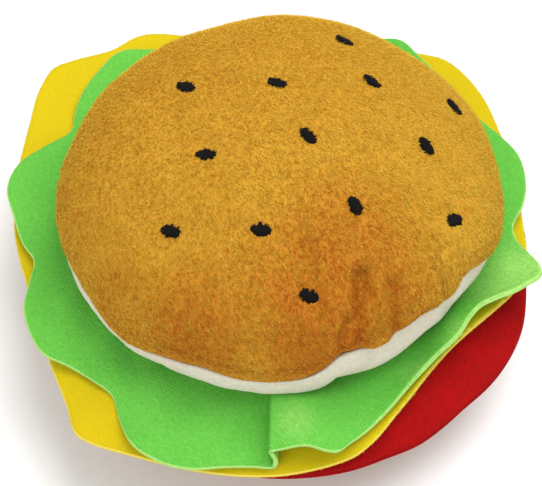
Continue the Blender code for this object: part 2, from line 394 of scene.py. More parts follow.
def knit_group() -> bpy.types.NodeTree:
    """The fine slanting rows of a brushed knit, softened by its nap."""
    group = open_group(
        "knit_rows",
        {"Row Scale": ("Float", 900.0), "Slant": ("Float", 0.6), "Relief": ("Float", 0.25 * MM)},
        {"Rows": "Float", "Normal": "Vector"},
    )
    bench = Bench(group)
    given = group.nodes["Group Input"].outputs
    place = bench.add("TexCoord").outputs["Object"]
    turn = bench.add("VectorRotate", {"rotation_type": "Z_AXIS"}, Vector=place, Angle=given["Slant"])
    fuzz = bench.add("TexNoise", Vector=place, Scale=1400.0, Detail=3.0).outputs[0]
    rows = bench.add(
        "TexWave",
        {"wave_type": "BANDS", "bands_direction": "Y"},
        Vector=turn.outputs[0],
        Scale=given["Row Scale"],
        Distortion=4.0,
        Detail=2.0,
        Detail_Scale=2.5,
    ).outputs["Fac"]
    height = bench.sum_up("MULTIPLY_ADD", rows, 0.45, bench.sum_up("MULTIPLY", fuzz, 0.9))
    bump = bench.add("Bump", Strength=1.0, Distance=given["Relief"], Height=height)
    bench.feed(group.nodes["Group Output"].inputs["Rows"], rows)
    bench.feed(group.nodes["Group Output"].inputs["Normal"], bump.outputs[0])
    return group


@dataclass(frozen=True)
class DyeAndHighlightSpot:
    """One soft spot of colour, placed in plan: sprayed dye on the bun, painted highlight on the lettuce.

    Attributes:
        x: Its middle, in millimetres.
        y: Its middle, in millimetres.
        radius: Its radius, in millimetres.
        strength: The share of the cloth's own colour that it covers.
    """

    x: float
    y: float
    radius: float
    strength: float

    @property
    def fades(self) -> tuple[float, float]:
        """Where its full strength ends and where it has faded away, in metres from its middle."""
        return 0.15 * self.radius * MM, 1.25 * self.radius * MM


TOASTING = (
    DyeAndHighlightSpot(20, -36, 24, 0.75),
    DyeAndHighlightSpot(10, -57, 22, 0.95),
    DyeAndHighlightSpot(-24, -56, 18, 0.8),
    DyeAndHighlightSpot(34, -50, 13, 0.55),
    DyeAndHighlightSpot(-2, -44, 20, 0.35),
    DyeAndHighlightSpot(-46, -42, 12, 0.3),
)
# Paler green painted on the lettuce's raised right lobe, on the ridge of its curled front rim and on the
# pleat's folded edge: painted highlight where these parts catch the light.
LEAF_PAINTED_HIGHLIGHTS = (
    DyeAndHighlightSpot(72, -18, 15, 0.9),
    DyeAndHighlightSpot(62, -26, 9, 0.6),
    DyeAndHighlightSpot(4, -70, 7, 0.5),
    DyeAndHighlightSpot(52, -42, 6, 0.5),
    DyeAndHighlightSpot(40, -52, 6, 0.5),
)


def sprayed_at(strokes: Sequence[DyeAndHighlightSpot], points: np.ndarray) -> np.ndarray:
    """How strongly the strokes dye each point, from 0 to 1."""
    clear = np.ones(len(points))
    for stroke in strokes:
        away = np.hypot(points[:, 0] - stroke.x * MM, points[:, 1] - stroke.y * MM)
        clear *= 1 - stroke.strength * (1 - smooth_step(away, *stroke.fades))
    return 1 - clear


def dye_and_highlight_mask(name: str, strokes: Sequence[DyeAndHighlightSpot]) -> bpy.types.NodeTree:
    """The same strokes as a mask for a material."""
    group = open_group(name, {}, {"Dyed": "Float"})
    bench = Bench(group)
    place = bench.add("SeparateXYZ", Vector=bench.add("TexCoord").outputs["Object"]).outputs
    flat = bench.add("CombineXYZ", X=place[0], Y=place[1], Z=0.0).outputs[0]
    clear: object = 1.0
    for stroke in strokes:
        away = bench.add("VectorMath", {"operation": "DISTANCE"})
        bench.feed(away.inputs[0], flat)
        bench.feed(away.inputs[1], (stroke.x * MM, stroke.y * MM, 0.0))
        fade = bench.add(
            "MapRange",
            {"interpolation_type": "SMOOTHSTEP"},
            Value=away.outputs["Value"],
            From_Min=stroke.fades[0],
            From_Max=stroke.fades[1],
            To_Min=1 - stroke.strength,
            To_Max=1.0,
        ).outputs[0]
        clear = bench.sum_up("MULTIPLY", clear, fade)
    bench.feed(group.nodes["Group Output"].inputs[0], bench.sum_up("SUBTRACT", 1.0, clear))
    return group


class Effects:
    """The node groups that the finishes share, each built once."""

    def __init__(self) -> None:
        """Builds the groups."""
        self.mottle = mottle_group()
        self.nap = nap_group()
        self.knit = knit_group()
        self.toasting = dye_and_highlight_mask("toasting", TOASTING)
        self.leaf_highlight = dye_and_highlight_mask("leaf_highlight", LEAF_PAINTED_HIGHLIGHTS)


def start_cloth(name: str, roughness: float, sheen: float, tint: Colour) -> tuple[bpy.types.Material, Bench]:
    """Starts a cloth material.

    Args:
        name: The material's name.
        roughness: The shader's roughness.
        sheen: How strongly fibres catch light at grazing angles.
        tint: The colour of that sheen.

    Returns:
        The material, and a bench for its nodes.
    """
    made = bpy.data.materials.new(name)
    made.use_nodes = True
    bench = Bench(made.node_tree)
    shader = bench.shader
    shader.inputs["Roughness"].default_value = roughness
    shader.inputs["Sheen Weight"].default_value = sheen
    shader.inputs["Sheen Roughness"].default_value = 0.45
    shader.inputs["Sheen Tint"].default_value = tint
    shader.inputs["Specular IOR Level"].default_value = 0.15
    return made, bench


def use_group(bench: Bench, group: bpy.types.NodeTree, **sockets: object) -> bpy.types.Node:
    """Places a shared group in a material and sets its inputs."""
    node = bench.tree.nodes.new("ShaderNodeGroup")
    node.node_tree = group
    for name, value in sockets.items():
        bench.feed(node.inputs[name.replace("_", " ")], value)
    return node


@dataclass(frozen=True)
class PlushGround:
    """The backing cloth of a plush, seen between its fibres."""

    name: str
    colour: Colour
    deep: Colour
    blotch_scale: float = 90.0
    sheen: float = 0.25
    toast: Colour | None = None

    def material(self, effects: Effects) -> bpy.types.Material:
        """Builds the material, airbrushed where the plush has a toast colour."""
        made, bench = start_cloth(self.name, 0.92, self.sheen, self.colour)
        shader = bench.shader
        base: object = self.colour
        if self.toast is not None:
            base = bench.blend(use_group(bench, effects.toasting).outputs[0], self.colour, self.toast)
        mottle = use_group(
            bench, effects.mottle, Colour=base, Second=self.deep, Blotch_Scale=self.blotch_scale, Amount=0.5
        )
        bench.feed(shader.inputs["Base Color"], mottle.outputs[0])
        bench.feed(shader.inputs["Normal"], use_group(bench, effects.nap).outputs[0])
        return made


@dataclass(frozen=True)
class BrushedKnit:
    """A single layer of fleece whose knit shows as fine slanting rows, with painted highlight on its raised
    parts and painted shade between its rows.
    """

    name: str
    colour: Colour
    deep: Colour
    painted_highlight: Colour
    row_scale: float
    slant: float
    relief: float
    sheen: float = 0.3

    def material(self, effects: Effects) -> bpy.types.Material:
        """Builds the material."""
        made, bench = start_cloth(self.name, 0.9, self.sheen, self.colour)
        shader = bench.shader
        rows = use_group(bench, effects.knit, Row_Scale=self.row_scale, Slant=self.slant, Relief=self.relief)
        # Painted highlight: the paler green at the leaf's highlight spots.
        base = bench.blend(use_group(bench, effects.leaf_highlight).outputs[0], self.colour, self.painted_highlight)
        mottle = use_group(
            bench, effects.mottle, Colour=base, Second=self.deep, Blotch_Scale=45.0, Amount=0.35
        )
        # Darker between the knit rows, where the relief is low: painted shade in the valleys of the knit.
        between = bench.sum_up("MULTIPLY", bench.sum_up("SUBTRACT", 1.0, rows.outputs["Rows"]), 0.35)
        bench.feed(shader.inputs["Base Color"], bench.blend(between, mottle.outputs[0], self.deep))
        bench.feed(shader.inputs["Normal"], rows.outputs["Normal"])
        return made


@dataclass(frozen=True)
class Felt:
    """Pressed felt: smooth, with short tangled fibres and faint cloudy patches."""

    name: str
    colour: Colour
    deep: Colour
    grain: float = 1300.0
    sheen: float = 0.2

    def material(self, effects: Effects) -> bpy.types.Material:
        """Builds the material."""
        made, bench = start_cloth(self.name, 0.95, self.sheen, self.colour)
        shader = bench.shader
        mottle = use_group(
            bench,
            effects.mottle,
            Colour=self.colour,
            Second=self.deep,
            Blotch_Scale=35.0,
            Grain_Scale=self.grain,
            Amount=0.45,
        )
        bench.feed(shader.inputs["Base Color"], mottle.outputs[0])
        relief = use_group(bench, effects.nap, Fibre_Scale=self.grain, Stretch=0.7, Relief=0.12 * MM)
        bench.feed(shader.inputs["Normal"], relief.outputs[0])
        return made


@dataclass(frozen=True)
class Strand:
    """One shade of fibre. A pile mixes several, so that the shades vary from fibre to fibre."""

    name: str
    colour: Colour
    roughness: float = 0.75
    sheen: float = 0.45

    def material(self) -> bpy.types.Material:
        """Builds the material."""
        made, bench = start_cloth(self.name, self.roughness, self.sheen, self.colour)
        bench.feed(bench.shader.inputs["Base Color"], self.colour)
        return made


@dataclass(frozen=True)
class TwistedThread:
    """Sewing thread, whose plies show as fine slanting bands, darker in the grooves between them as painted
    shade.
    """

    name: str
    colour: Colour
    deep: Colour

    def material(self) -> bpy.types.Material:
        """Builds the material."""
        made, bench = start_cloth(self.name, 0.7, 0.05, self.colour)
        shader = bench.shader
        shader.inputs["Specular IOR Level"].default_value = 0.12
        place = bench.add("TexCoord").outputs["Object"]
        plies = bench.add(
            "TexWave", {"bands_direction": "DIAGONAL"}, Vector=place, Scale=700.0, Distortion=1.0
        ).outputs["Fac"]
        # Darker in the grooves between the plies: painted shade.
        bench.feed(shader.inputs["Base Color"], bench.blend(plies, self.deep, self.colour))
        bump = bench.add("Bump", Strength=0.6, Distance=0.05 * MM, Height=plies)
        bench.feed(shader.inputs["Normal"], bump.outputs[0])
        return made


# Pile.


@dataclass(frozen=True)
class Pile:
    """Short fibres that stand on a cloth and lean with its nap.

    Attributes:
        name: The start of the names of the pieces that the fibres are gathered in.
        strands: The shades of fibre, from the lightest to the darkest.
        density: Fibres to the square millimetre.
        length: The mean length of a fibre.
        width: The width of a fibre at its root.
        lean: How far a fibre tips over, as a share of its length.
        nap: The direction that the fibres lean in.
        seed: Picks the places and the small differences.
        tufting: How far neighbouring fibres lean aside together.
        tuft_width: How wide such a tuft is.
        stray: How far single fibres lean any way.
        sunk: The share of a fibre that is inside the cloth.
    """

    name: str
    strands: tuple[Strand, ...]
    density: float
    length: float
    width: float
    lean: float
    nap: tuple[float, float, float]
    seed: int
    tufting: float = 0.5
    tuft_width: float = 1.4 * MM
    stray: float = 0.17
    sunk: float = 0.15

    def blade(self) -> tuple[np.ndarray, np.ndarray]:
        """One fibre of unit length and width, as points and triangles."""
        shape = bmesh.new()
        bmesh.ops.create_cone(
            shape, cap_ends=True, cap_tris=True, segments=3, radius1=0.5, radius2=0.0, depth=1.0
        )
        bmesh.ops.translate(shape, verts=shape.verts, vec=(0, 0, 0.5))
        bmesh.ops.remove_doubles(shape, verts=shape.verts, dist=1e-5)
        bmesh.ops.triangulate(shape, faces=shape.faces)
        shape.verts.index_update()
        points = np.array([vertex.co[:] for vertex in shape.verts])
        triangles = np.array([[vertex.index for vertex in face.verts] for face in shape.faces])
        shape.free()
        return points, triangles

    def roots(self, cloth: bpy.types.Object, draw: np.random.Generator) -> tuple[np.ndarray, np.ndarray]:
        """Picks where fibres stand, evenly over a cloth, with the surface's direction at each."""
        mesh = cloth.data
        mesh.calc_loop_triangles()
        corners = np.zeros(len(mesh.loop_triangles) * 3, np.int32)
        mesh.loop_triangles.foreach_get("vertices", corners)
        normals = np.zeros(len(mesh.vertices) * 3)
        mesh.vertices.foreach_get("normal", normals)
        triangles = corners.reshape(-1, 3)
        points = read_points(cloth)
        a, b, c = (points[triangles[:, k]] for k in range(3))
        areas = np.linalg.norm(np.cross(b - a, c - a), axis=1) / 2
        count = int(areas.sum() / MM**2 * self.density)
        chosen = draw.choice(len(areas), count, p=areas / areas.sum())
        u, v = draw.random((2, count))
        turned = u + v > 1
        u, v = np.where(turned, 1 - u, u), np.where(turned, 1 - v, v)
        shares = np.stack([1 - u - v, u, v], axis=1)[:, :, None]
        places = (points[triangles[chosen]] * shares).sum(axis=1)
        facing = (normals.reshape(-1, 3)[triangles[chosen]] * shares).sum(axis=1)
        return places, facing / np.linalg.norm(facing, axis=1, keepdims=True)

    def grow(self, cloth: bpy.types.Object, grows: Field, darkness: Field, seats: Seat) -> None:
        """Grows the pile on a finished cloth.

        Args:
            cloth: The piece that the fibres stand on.
            grows: The share of their full length that fibres have at each point, with 0 for none.
            darkness: Says for each point how dark its fibres are, from 0 to 1.
            seats: Mounts each finished piece of pile.
        """
        draw = np.random.default_rng(self.seed)
        places, facing = self.roots(cloth, draw)
        share = grows(places)
        kept = share > 0
        self.stand(places[kept], facing[kept], share[kept], darkness, seats, draw)

    def stand(
        self,
        places: np.ndarray,
        facing: np.ndarray,
        share: np.ndarray,
        darkness: Field,
        seats: Seat,
        draw: np.random.Generator,
    ) -> None:
        """Stands fibres on given places.

        Args:
            places: The fibres' roots.
            facing: The direction out of the cloth at each root.
            share: The share of its full length that each fibre has.
            darkness: Says for each point how dark its fibres are, from 0 to 1.
            seats: Mounts each finished piece of pile.
            draw: Picks the small differences.
        """
        count = len(places)
        nap = np.array(self.nap) - (facing @ np.array(self.nap))[:, None] * facing
        nap /= np.maximum(np.linalg.norm(nap, axis=1, keepdims=True), 1e-6)
        stray = draw.normal(scale=self.stray, size=(count, 3))
        side = np.cross(facing, nap)
        tufts = Ripple(self.tuft_width, self.tufting, self.seed, 24).at(places)[:, None]
        along = facing + self.lean * nap + tufts * side + stray
        along /= np.linalg.norm(along, axis=1, keepdims=True)
        side = np.cross(along, facing + draw.normal(scale=0.3, size=(count, 3)))
        side /= np.maximum(np.linalg.norm(side, axis=1, keepdims=True), 1e-9)
        third = np.cross(along, side)
        lengths = self.length * draw.uniform(0.65, 1.3, (count, 1)) * share[:, None]
        widths = self.width * draw.uniform(0.8, 1.25, (count, 1))
        blade, triangles = self.blade()
        points = (
            (places - self.sunk * lengths * along)[:, None]
            + blade[None, :, 0:1] * (side * widths)[:, None]
            + blade[None, :, 1:2] * (third * widths)[:, None]
            + blade[None, :, 2:3] * (along * lengths)[:, None]
        )
        last = len(self.strands) - 1
        shade = np.clip(np.rint(darkness(places) * last + draw.normal(scale=0.75, size=count)), 0, last)
        for number, strand in enumerate(self.strands):
            chosen = points[shade == number]
            if len(chosen):
                seats(self.gather(f"{self.name}_{number + 1}", chosen, triangles, strand.material()))

    def gather(
        self, name: str, fibres: np.ndarray, triangles: np.ndarray, finish: bpy.types.Material
    ) -> bpy.types.Object:
        """Makes one piece of many fibres of one shade."""
        count, corners = fibres.shape[:2]
        faces = (triangles[None] + corners * np.arange(count)[:, None, None]).reshape(-1, 3)
        mesh = bpy.data.meshes.new(name)
        mesh.vertices.add(count * corners)
        mesh.vertices.foreach_set("co", fibres.astype(np.float32).ravel())
        mesh.loops.add(faces.size)
        mesh.loops.foreach_set("vertex_index", faces.astype(np.int32).ravel())
        mesh.polygons.add(len(faces))
        mesh.polygons.foreach_set("loop_start", np.arange(0, faces.size, 3, dtype=np.int32))
        mesh.update(calc_edges=True)
        mesh.validate()
        return link_piece(name, mesh, [finish])


# Cut sheets of cloth.


@dataclass(frozen=True)
class Pleat:
    """A fold where the cloth to its right lies over a valley to its left.

    Attributes:
        bearing: Where the step is, in degrees.
        step: How high the right side stands over the left at the rim.
        sharpness: Half the width of the step, in degrees.
        overlap: How far the raised cloth is drawn over the valley, in degrees.
        run_out: How far to the right the raised cloth comes down again, in degrees.
    """

    bearing: float = -90.6
    step: float = 6.5 * MM
    sharpness: float = 0.9
    overlap: float = 2.4
    run_out: float = 24.0

    def grown(self, reach: np.ndarray) -> np.ndarray:
        """The share of its full size that the pleat has at each reach."""
        return smooth_step(reach, 50 * MM, 64 * MM)

    def lift(self, bearing: np.ndarray, reach: np.ndarray) -> np.ndarray:
        """How far the pleat lifts the cloth."""
        right = np.degrees(bearing) - self.bearing
        raised = smooth_step(right, -self.sharpness, self.sharpness)
        raised *= 1 - smooth_step(right, 3, self.run_out)
        sunk = -0.2 * (1 - smooth_step(right, -1, 1)) * smooth_step(right, -14, 0)
        return self.step * (raised + sunk) * self.grown(reach)

    def turn(self, bearing: np.ndarray, reach: np.ndarray) -> np.ndarray:
        """How far round the pleat draws the cloth, in radians, so that it overhangs its valley."""
        right = np.degrees(bearing) - self.bearing
        drawn = smooth_step(right, -0.4 * self.sharpness, self.sharpness) * (1 - smooth_step(right, 1, 9))
        return -math.radians(self.overlap) * drawn * self.grown(reach)


@dataclass
class CutSheet:
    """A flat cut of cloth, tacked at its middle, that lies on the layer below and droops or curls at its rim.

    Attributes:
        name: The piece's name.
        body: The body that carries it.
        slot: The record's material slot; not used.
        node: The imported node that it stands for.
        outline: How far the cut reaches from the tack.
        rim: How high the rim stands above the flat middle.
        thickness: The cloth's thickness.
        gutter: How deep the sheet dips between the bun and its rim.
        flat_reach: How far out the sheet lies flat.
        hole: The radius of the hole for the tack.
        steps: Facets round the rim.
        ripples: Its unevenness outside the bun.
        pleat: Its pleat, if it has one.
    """

    BEND = 1.5
    UNEVEN_FROM = 53 * MM
    UNEVEN_WHOLLY = 62 * MM
    NOMINAL_REACH = 80 * MM

    name: str
    body: str
    slot: str
    node: str
    outline: BearingCurve
    rim: BearingCurve
    thickness: float
    gutter: BearingCurve = field(default_factory=lambda: level_curve(0))
    flat_reach: BearingCurve = field(default_factory=lambda: level_curve(53))
    hole: float = 1.6 * MM
    steps: int = 1080
    ripples: tuple[Ripple, ...] = ()
    pleat: Pleat | None = None

    def level(self) -> float:
        """The height of the middle of the sheet's flat part."""
        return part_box(self.node)[1].z - self.thickness / 2

    def height(self, points: np.ndarray) -> np.ndarray:
        """The height of the sheet's middle surface at plan points."""
        bearing = np.arctan2(points[:, 1], points[:, 0])
        reach = np.hypot(points[:, 0], points[:, 1])
        flat = self.flat_reach.at(bearing)
        out = np.clip((reach - flat) / (self.outline.at(bearing) - flat), 0, 1.1)
        lifted = self.rim.at(bearing) * out**self.BEND
        if self.pleat is not None:
            lifted = lifted + self.pleat.lift(bearing, reach)
        dipped = self.gutter.at(bearing) * 4 * out * np.clip(1 - out, 0, 1)
        uneven = sum((ripple.at(points[:, :2]) for ripple in self.ripples), np.zeros(len(points)))
        uneven *= smooth_step(reach, self.UNEVEN_FROM, self.UNEVEN_WHOLLY)
        return self.level() + lifted - dipped + uneven

    def surface(self, bearing: np.ndarray, reach: np.ndarray) -> np.ndarray:
        """Points on the sheet's middle surface."""
        plan = np.stack([reach * np.cos(bearing), reach * np.sin(bearing)], axis=1)
        turned = bearing if self.pleat is None else bearing + self.pleat.turn(bearing, reach)
        return np.stack([reach * np.cos(turned), reach * np.sin(turned), self.height(plan)], axis=1)

    def shape(self) -> bmesh.types.BMesh:
        """A ring of cloth in a plain space: 1 to 2 across from the hole to the rim, and -1 to 1 through."""
        coarse = [0.0, 0.2, 0.38, 0.52]
        fine = [0.6 + 0.4 * k / 28 for k in range(29)]
        edge = 1 + 0.3 * self.thickness / self.NOMINAL_REACH
        upper = [(1 + share, 1.0) for share in coarse + fine]
        rim = [(1 + edge, 0.45), (1 + edge, -0.45)]
        lower = [(across, -1.0) for across, _ in reversed(upper)]
        ring = upper + rim + lower
        ring.append(ring[0])
        shape = bmesh.new()
        bmesh.ops.create_grid(shape, x_segments=self.steps, y_segments=len(ring) - 1, size=1.0)
        for vertex in shape.verts:
            bearing = math.pi * vertex.co.x
            across, through = ring[round((vertex.co.y + 1) / 2 * (len(ring) - 1))]
            vertex.co = (across * math.cos(bearing), across * math.sin(bearing), through)
        bmesh.ops.remove_doubles(shape, verts=shape.verts, dist=1e-5)
        bmesh.ops.recalc_face_normals(shape, faces=shape.faces)
        return shape

    def build(self, finish: bpy.types.Material, cut: bpy.types.Material) -> bpy.types.Object:
        """Builds the sheet in place.

        Args:
            finish: The finish of its faces.
            cut: The finish of its cut edge.

        Returns:
            The sheet.
        """
        shape = self.shape()
        for face in shape.faces:
            face.material_index = int(face.calc_center_median().xy.length > 2.0 - 1e-5)
        piece = link_piece(self.name, mesh_of(shape), [finish, cut])
        plain = read_points(piece)
        bearing = np.arctan2(plain[:, 1], plain[:, 0])
        across = np.hypot(plain[:, 0], plain[:, 1]) - 1
        reach = self.hole + across * (self.outline.at(bearing) - self.hole)
        points = self.surface(bearing, reach)
        outward = self.surface(bearing, reach + 0.1 * MM) - points
        onward = self.surface(bearing + 0.001, reach) - points
        upright = np.cross(outward, onward)
        upright /= np.linalg.norm(upright, axis=1, keepdims=True)
        write_points(piece, points + plain[:, 2:3] * self.thickness / 2 * upright)
        mount(piece, self.body, [self.node])
        return piece

    def edge_points(self, count: int, draw: np.random.Generator) -> tuple[np.ndarray, np.ndarray]:
        """Random points on the cut edge, and the directions straight out from it."""
        bearing = draw.uniform(-math.pi, math.pi, count)
        here = self.surface(bearing, self.outline.at(bearing))
        onward = self.surface(bearing + 0.002, self.outline.at(bearing + 0.002)) - here
        outward = np.cross(onward, (0, 0, 1))
        outward /= np.linalg.norm(outward, axis=1, keepdims=True)
        through = draw.uniform(-0.55, 0.55, (count, 1)) * self.thickness
        return here + through * np.array([[0, 0, 1]]) + 0.1 * MM * outward, outward


# Stuffed pieces.


@dataclass(frozen=True)
class Panel:
    """One cloth panel of a stuffed piece, from its seam to its middle.

    Attributes:
        crest: The height of its middle.
        shoulder: How far in from its widest the panel keeps curving.
        belly: How far it swells beyond the seam.
        tuck: The height from the seam to where it is widest.
        thickness: The thickness of the cloth.
        dish: How far the middle stands out beyond the shoulder.
    """

    crest: float
    shoulder: BearingCurve
    belly: BearingCurve
    tuck: float
    thickness: float
    dish: float = 0.0


@dataclass
class StuffedShape:
    """Two round panels sewn together at their rims and filled.

    Attributes:
        upper: The panel above the seam.
        lower: The panel below it.
        seam_reach: The seam's distance from the tack.
        seam_lift: How far the seam is pushed up from its level.
        seam_level: The seam's level.
        true_radius: The radius that the panels return to away from the seam.
        cells: Squares across each panel.
    """

    upper: Panel
    lower: Panel
    seam_reach: BearingCurve
    seam_lift: BearingCurve
    seam_level: float
    true_radius: float
    cells: int = 56

    def lengths(self, panel: Panel) -> tuple[float, float]:
        """The shares of a panel, from its middle, at which it starts to curve and to tuck in."""
        rise = abs(panel.crest - self.seam_level) - panel.tuck
        shoulder = panel.shoulder.middling()
        flat = max(0.0, self.true_radius - shoulder)
        side = math.pi / 2 * math.hypot(rise, shoulder) / math.sqrt(2)
        tuck = 1.1 * panel.tuck
        whole = flat + side + tuck
        return flat / whole, (flat + side) / whole

    def place(self, bearing: np.ndarray, share: np.ndarray, panel: Panel) -> np.ndarray:
        """Places points on a panel.

        Args:
            bearing: Bearings in radians.
            share: How far out each point is, from 0 in the middle to 1 at the seam.
            panel: The upper or the lower panel.

        Returns:
            The points.
        """
        up = 1.0 if panel is self.upper else -1.0
        curve_at, tuck_at = self.lengths(panel)
        seam_reach = self.seam_reach.at(bearing)
        seam_height = self.seam_level + self.seam_lift.at(bearing)
        widest_height = seam_height + up * panel.tuck
        angle = np.clip((tuck_at - share) / (tuck_at - curve_at), 0, 1) * math.pi / 2
        near_seam = np.exp(-((angle / math.radians(35)) ** 2))
        belly = panel.belly.at(bearing)
        widest = self.true_radius + (seam_reach + belly - self.true_radius) * near_seam
        shoulder = np.minimum(panel.shoulder.at(bearing), self.true_radius)
        reach = widest - shoulder * (1 - np.cos(angle))
        shoulder_height = panel.crest - up * panel.dish
        height = widest_height + (shoulder_height - widest_height) * np.sin(angle)
        if curve_at > 0:
            inner = np.clip(share / curve_at, 0, 1)
            reach = np.where(share < curve_at, reach * inner, reach)
            height = height + up * panel.dish * (1 - inner**2)
        tucked = np.clip((share - tuck_at) / (1 - tuck_at), 0, 1) * math.pi / 2
        reach = np.where(share > tuck_at, widest - belly * (1 - np.cos(tucked)), reach)
        height = np.where(share > tuck_at, widest_height - up * panel.tuck * np.sin(tucked), height)
        return np.stack([reach * np.cos(bearing), reach * np.sin(bearing), height], axis=1)

    def net(self) -> bmesh.types.BMesh:
        """Two square nets joined at their rims, in a plain space: the upper at height 1, the lower at -1."""
        shape = bmesh.new()
        for through in (1.0, -1.0):
            square = bmesh.ops.create_grid(
                shape, x_segments=self.cells, y_segments=self.cells, size=1.0
            )
            for vertex in square["verts"]:
                if max(abs(vertex.co.x), abs(vertex.co.y)) < 1 - 1e-5:
                    vertex.co.z = through
        bmesh.ops.remove_doubles(shape, verts=shape.verts, dist=1e-5)
        return shape

    def build(self, name: str, finish: bpy.types.Material) -> tuple[bpy.types.Object, np.ndarray]:
        """Builds the whole closed piece in place.

        Args:
            name: The piece's name.
            finish: Its material.

        Returns:
            The piece, and for each vertex its place in the plain space.
        """
        piece = link_piece(name, mesh_of(self.net()), [finish])
        plain = read_points(piece)
        x, y = plain[:, 0], plain[:, 1]
        share = np.maximum(abs(x), abs(y))
        wide = abs(x) >= abs(y)
        safe_x, safe_y = np.where(x == 0, 1, x), np.where(y == 0, 1, y)
        bearing = np.where(
            wide,
            math.pi / 4 * y / safe_x + math.pi * (x < 0),
            math.pi / 2 - math.pi / 4 * x / safe_y + math.pi * (y < 0),
        )
        placed = np.where(
            (plain[:, 2] >= 0)[:, None],
            self.place(bearing, share, self.upper),
            self.place(bearing, share, self.lower),
        )
        write_points(piece, placed)
        turned_right = bmesh.new()
        turned_right.from_mesh(piece.data)
        bmesh.ops.recalc_face_normals(turned_right, faces=turned_right.faces)
        turned_right.to_mesh(piece.data)
        turned_right.free()
        return piece, np.concatenate([plain[:, 2:3], share[:, None]], axis=1)


# The studio.


@dataclass
class Studio:
    """A pale floor, soft lights and the camera."""

    azimuth: float = 0.0
    elevation: float = 52.0
    distance: float = 0.8
    lens: float = 179.9
    aim: tuple[float, float, float] = (-2.66 * MM, -8.38 * MM, 48.05 * MM)
    paper: float = 0.9
    sky: float = 0.68

    def floor(self) -> None:
        """Lays the floor."""
        shape = bmesh.new()
        bmesh.ops.create_grid(shape, x_segments=1, y_segments=1, size=6.0)
        made, bench = start_cloth("floor_paper", 0.9, 0.0, (1, 1, 1, 1))
        bench.feed(bench.shader.inputs["Base Color"], (self.paper, self.paper, self.paper, 1))
        link_piece("floor", mesh_of(shape), [made])

    def lamp(self, name: str, place: tuple[float, float, float], size: float, power: float) -> None:
        """Hangs a square soft light that faces the toy."""
        light = bpy.data.lights.new(name, "AREA")
        light.size = size
        light.energy = power
        lamp = bpy.data.objects.new(name, light)
        lamp.location = place
        lamp.rotation_euler = (Vector(self.aim) - Vector(place)).to_track_quat("-Z", "Y").to_euler()
        bpy.context.scene.collection.objects.link(lamp)

    def camera(self) -> None:
        """Sets up the camera."""
        turn, lift = math.radians(self.azimuth), math.radians(self.elevation)
        back = Vector((math.sin(turn) * math.cos(lift), -math.cos(turn) * math.cos(lift), math.sin(lift)))
        made = bpy.data.cameras.new("camera")
        made.lens = self.lens
        made.sensor_width = 36.0
        made.clip_start, made.clip_end = 0.01, 20.0
        camera = bpy.data.objects.new("camera", made)
        camera.location = Vector(self.aim) + back * self.distance
        camera.rotation_mode = "QUATERNION"
        camera.rotation_quaternion = (-back).to_track_quat("-Z", "Y")
        bpy.context.scene.collection.objects.link(camera)
        bpy.context.scene.camera = camera

    def build(self) -> None:
        """Sets up everything."""
        self.floor()
        self.lamp("overhead", (0.35, 0.1, 1.15), 1.0, 14.6)
        self.lamp("front", (-0.5, -0.9, 0.8), 0.9, 6.0)
        world = bpy.data.worlds.new("studio")
        world.use_nodes = True
        light = world.node_tree.nodes["Background"].inputs
        light["Color"].default_value = (1, 1, 1, 1)
        light["Strength"].default_value = self.sky
        bpy.context.scene.world = world
        bpy.context.scene.view_settings.view_transform = "Standard"
        self.camera()


# Sub-assemblies.

TAN_DYES = (dye(190, 142, 40), dye(164, 110, 26))
CREAM_DYES = (dye(206, 201, 183), dye(182, 174, 152))
CREAM_BLOTCHES = 40.0
FILL_DYES = (dye(238, 238, 234), dye(214, 214, 208))
FILL_GRAIN = 600.0


class Side(Enum):
    """Which of a stuffed piece's two panels is meant."""

    UPPER = 1
    LOWER = -1


class Toy:
    """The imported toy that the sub-assemblies are built round."""

    def __init__(self, frame: dict) -> None:
        """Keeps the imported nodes' objects and the shared effects."""
        self.nodes: dict[str, bpy.types.Object] = frame["nodes"]
        self.effects = Effects()

    def top(self, node: str) -> float:
        """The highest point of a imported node."""
        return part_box(node)[1].z

    def bottom(self, node: str) -> float:
        """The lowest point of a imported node."""
        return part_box(node)[0].z

    def dress(self, finish: bpy.types.Material, *names: str) -> None:
        """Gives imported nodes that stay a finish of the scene's own."""
        for name in names:
            mesh = self.nodes[name].data
            mesh.materials.clear()
            mesh.materials.append(finish)


def settle(piece: bpy.types.Object) -> None:
    """Makes a piece's modifiers part of its mesh."""
    depsgraph = bpy.context.evaluated_depsgraph_get()
    final = bpy.data.meshes.new_from_object(piece.evaluated_get(depsgraph), depsgraph=depsgraph)
    final.name = piece.name
    piece.modifiers.clear()
    piece.data = final


def refine(piece: bpy.types.Object) -> None:
    """Subdivides a piece once, smoothly."""
    finer = piece.modifiers.new("finer", "SUBSURF")
    finer.levels = finer.render_levels = 1
    settle(piece)


def thicken(piece: bpy.types.Object, thickness: float) -> None:
    """Gives an open panel its cloth's thickness, inwards."""
    wall = piece.modifiers.new("wall", "SOLIDIFY")
    wall.thickness = thickness
    wall.offset = -1.0
    wall.use_even_offset = False
    settle(piece)


def normals_of(piece: bpy.types.Object) -> np.ndarray:
    """The outward direction at each vertex of a piece."""
    flat = np.zeros(len(piece.data.vertices) * 3)
    piece.data.vertices.foreach_get("normal", flat)
    return flat.reshape(-1, 3)


def part_panel(
    cover: bpy.types.Object, kept: np.ndarray, name: str, finish: bpy.types.Material
) -> bpy.types.Object:
    """Copies one panel of a sewn cover and refines it.

    Args:
        cover: The closed cover.
        kept: Marks the vertices of the panel.
        name: The panel's name.
        finish: Its material.

    Returns:
        The panel, open at the seam.
    """
    shape = bmesh.new()
    shape.from_mesh(cover.data)
    shape.verts.ensure_lookup_table()
    lost = [face for face in shape.faces if not all(kept[vertex.index] for vertex in face.verts)]
    bmesh.ops.delete(shape, geom=lost, context="FACES")
    piece = link_piece(name, mesh_of(shape), [finish])
    refine(piece)
    return piece


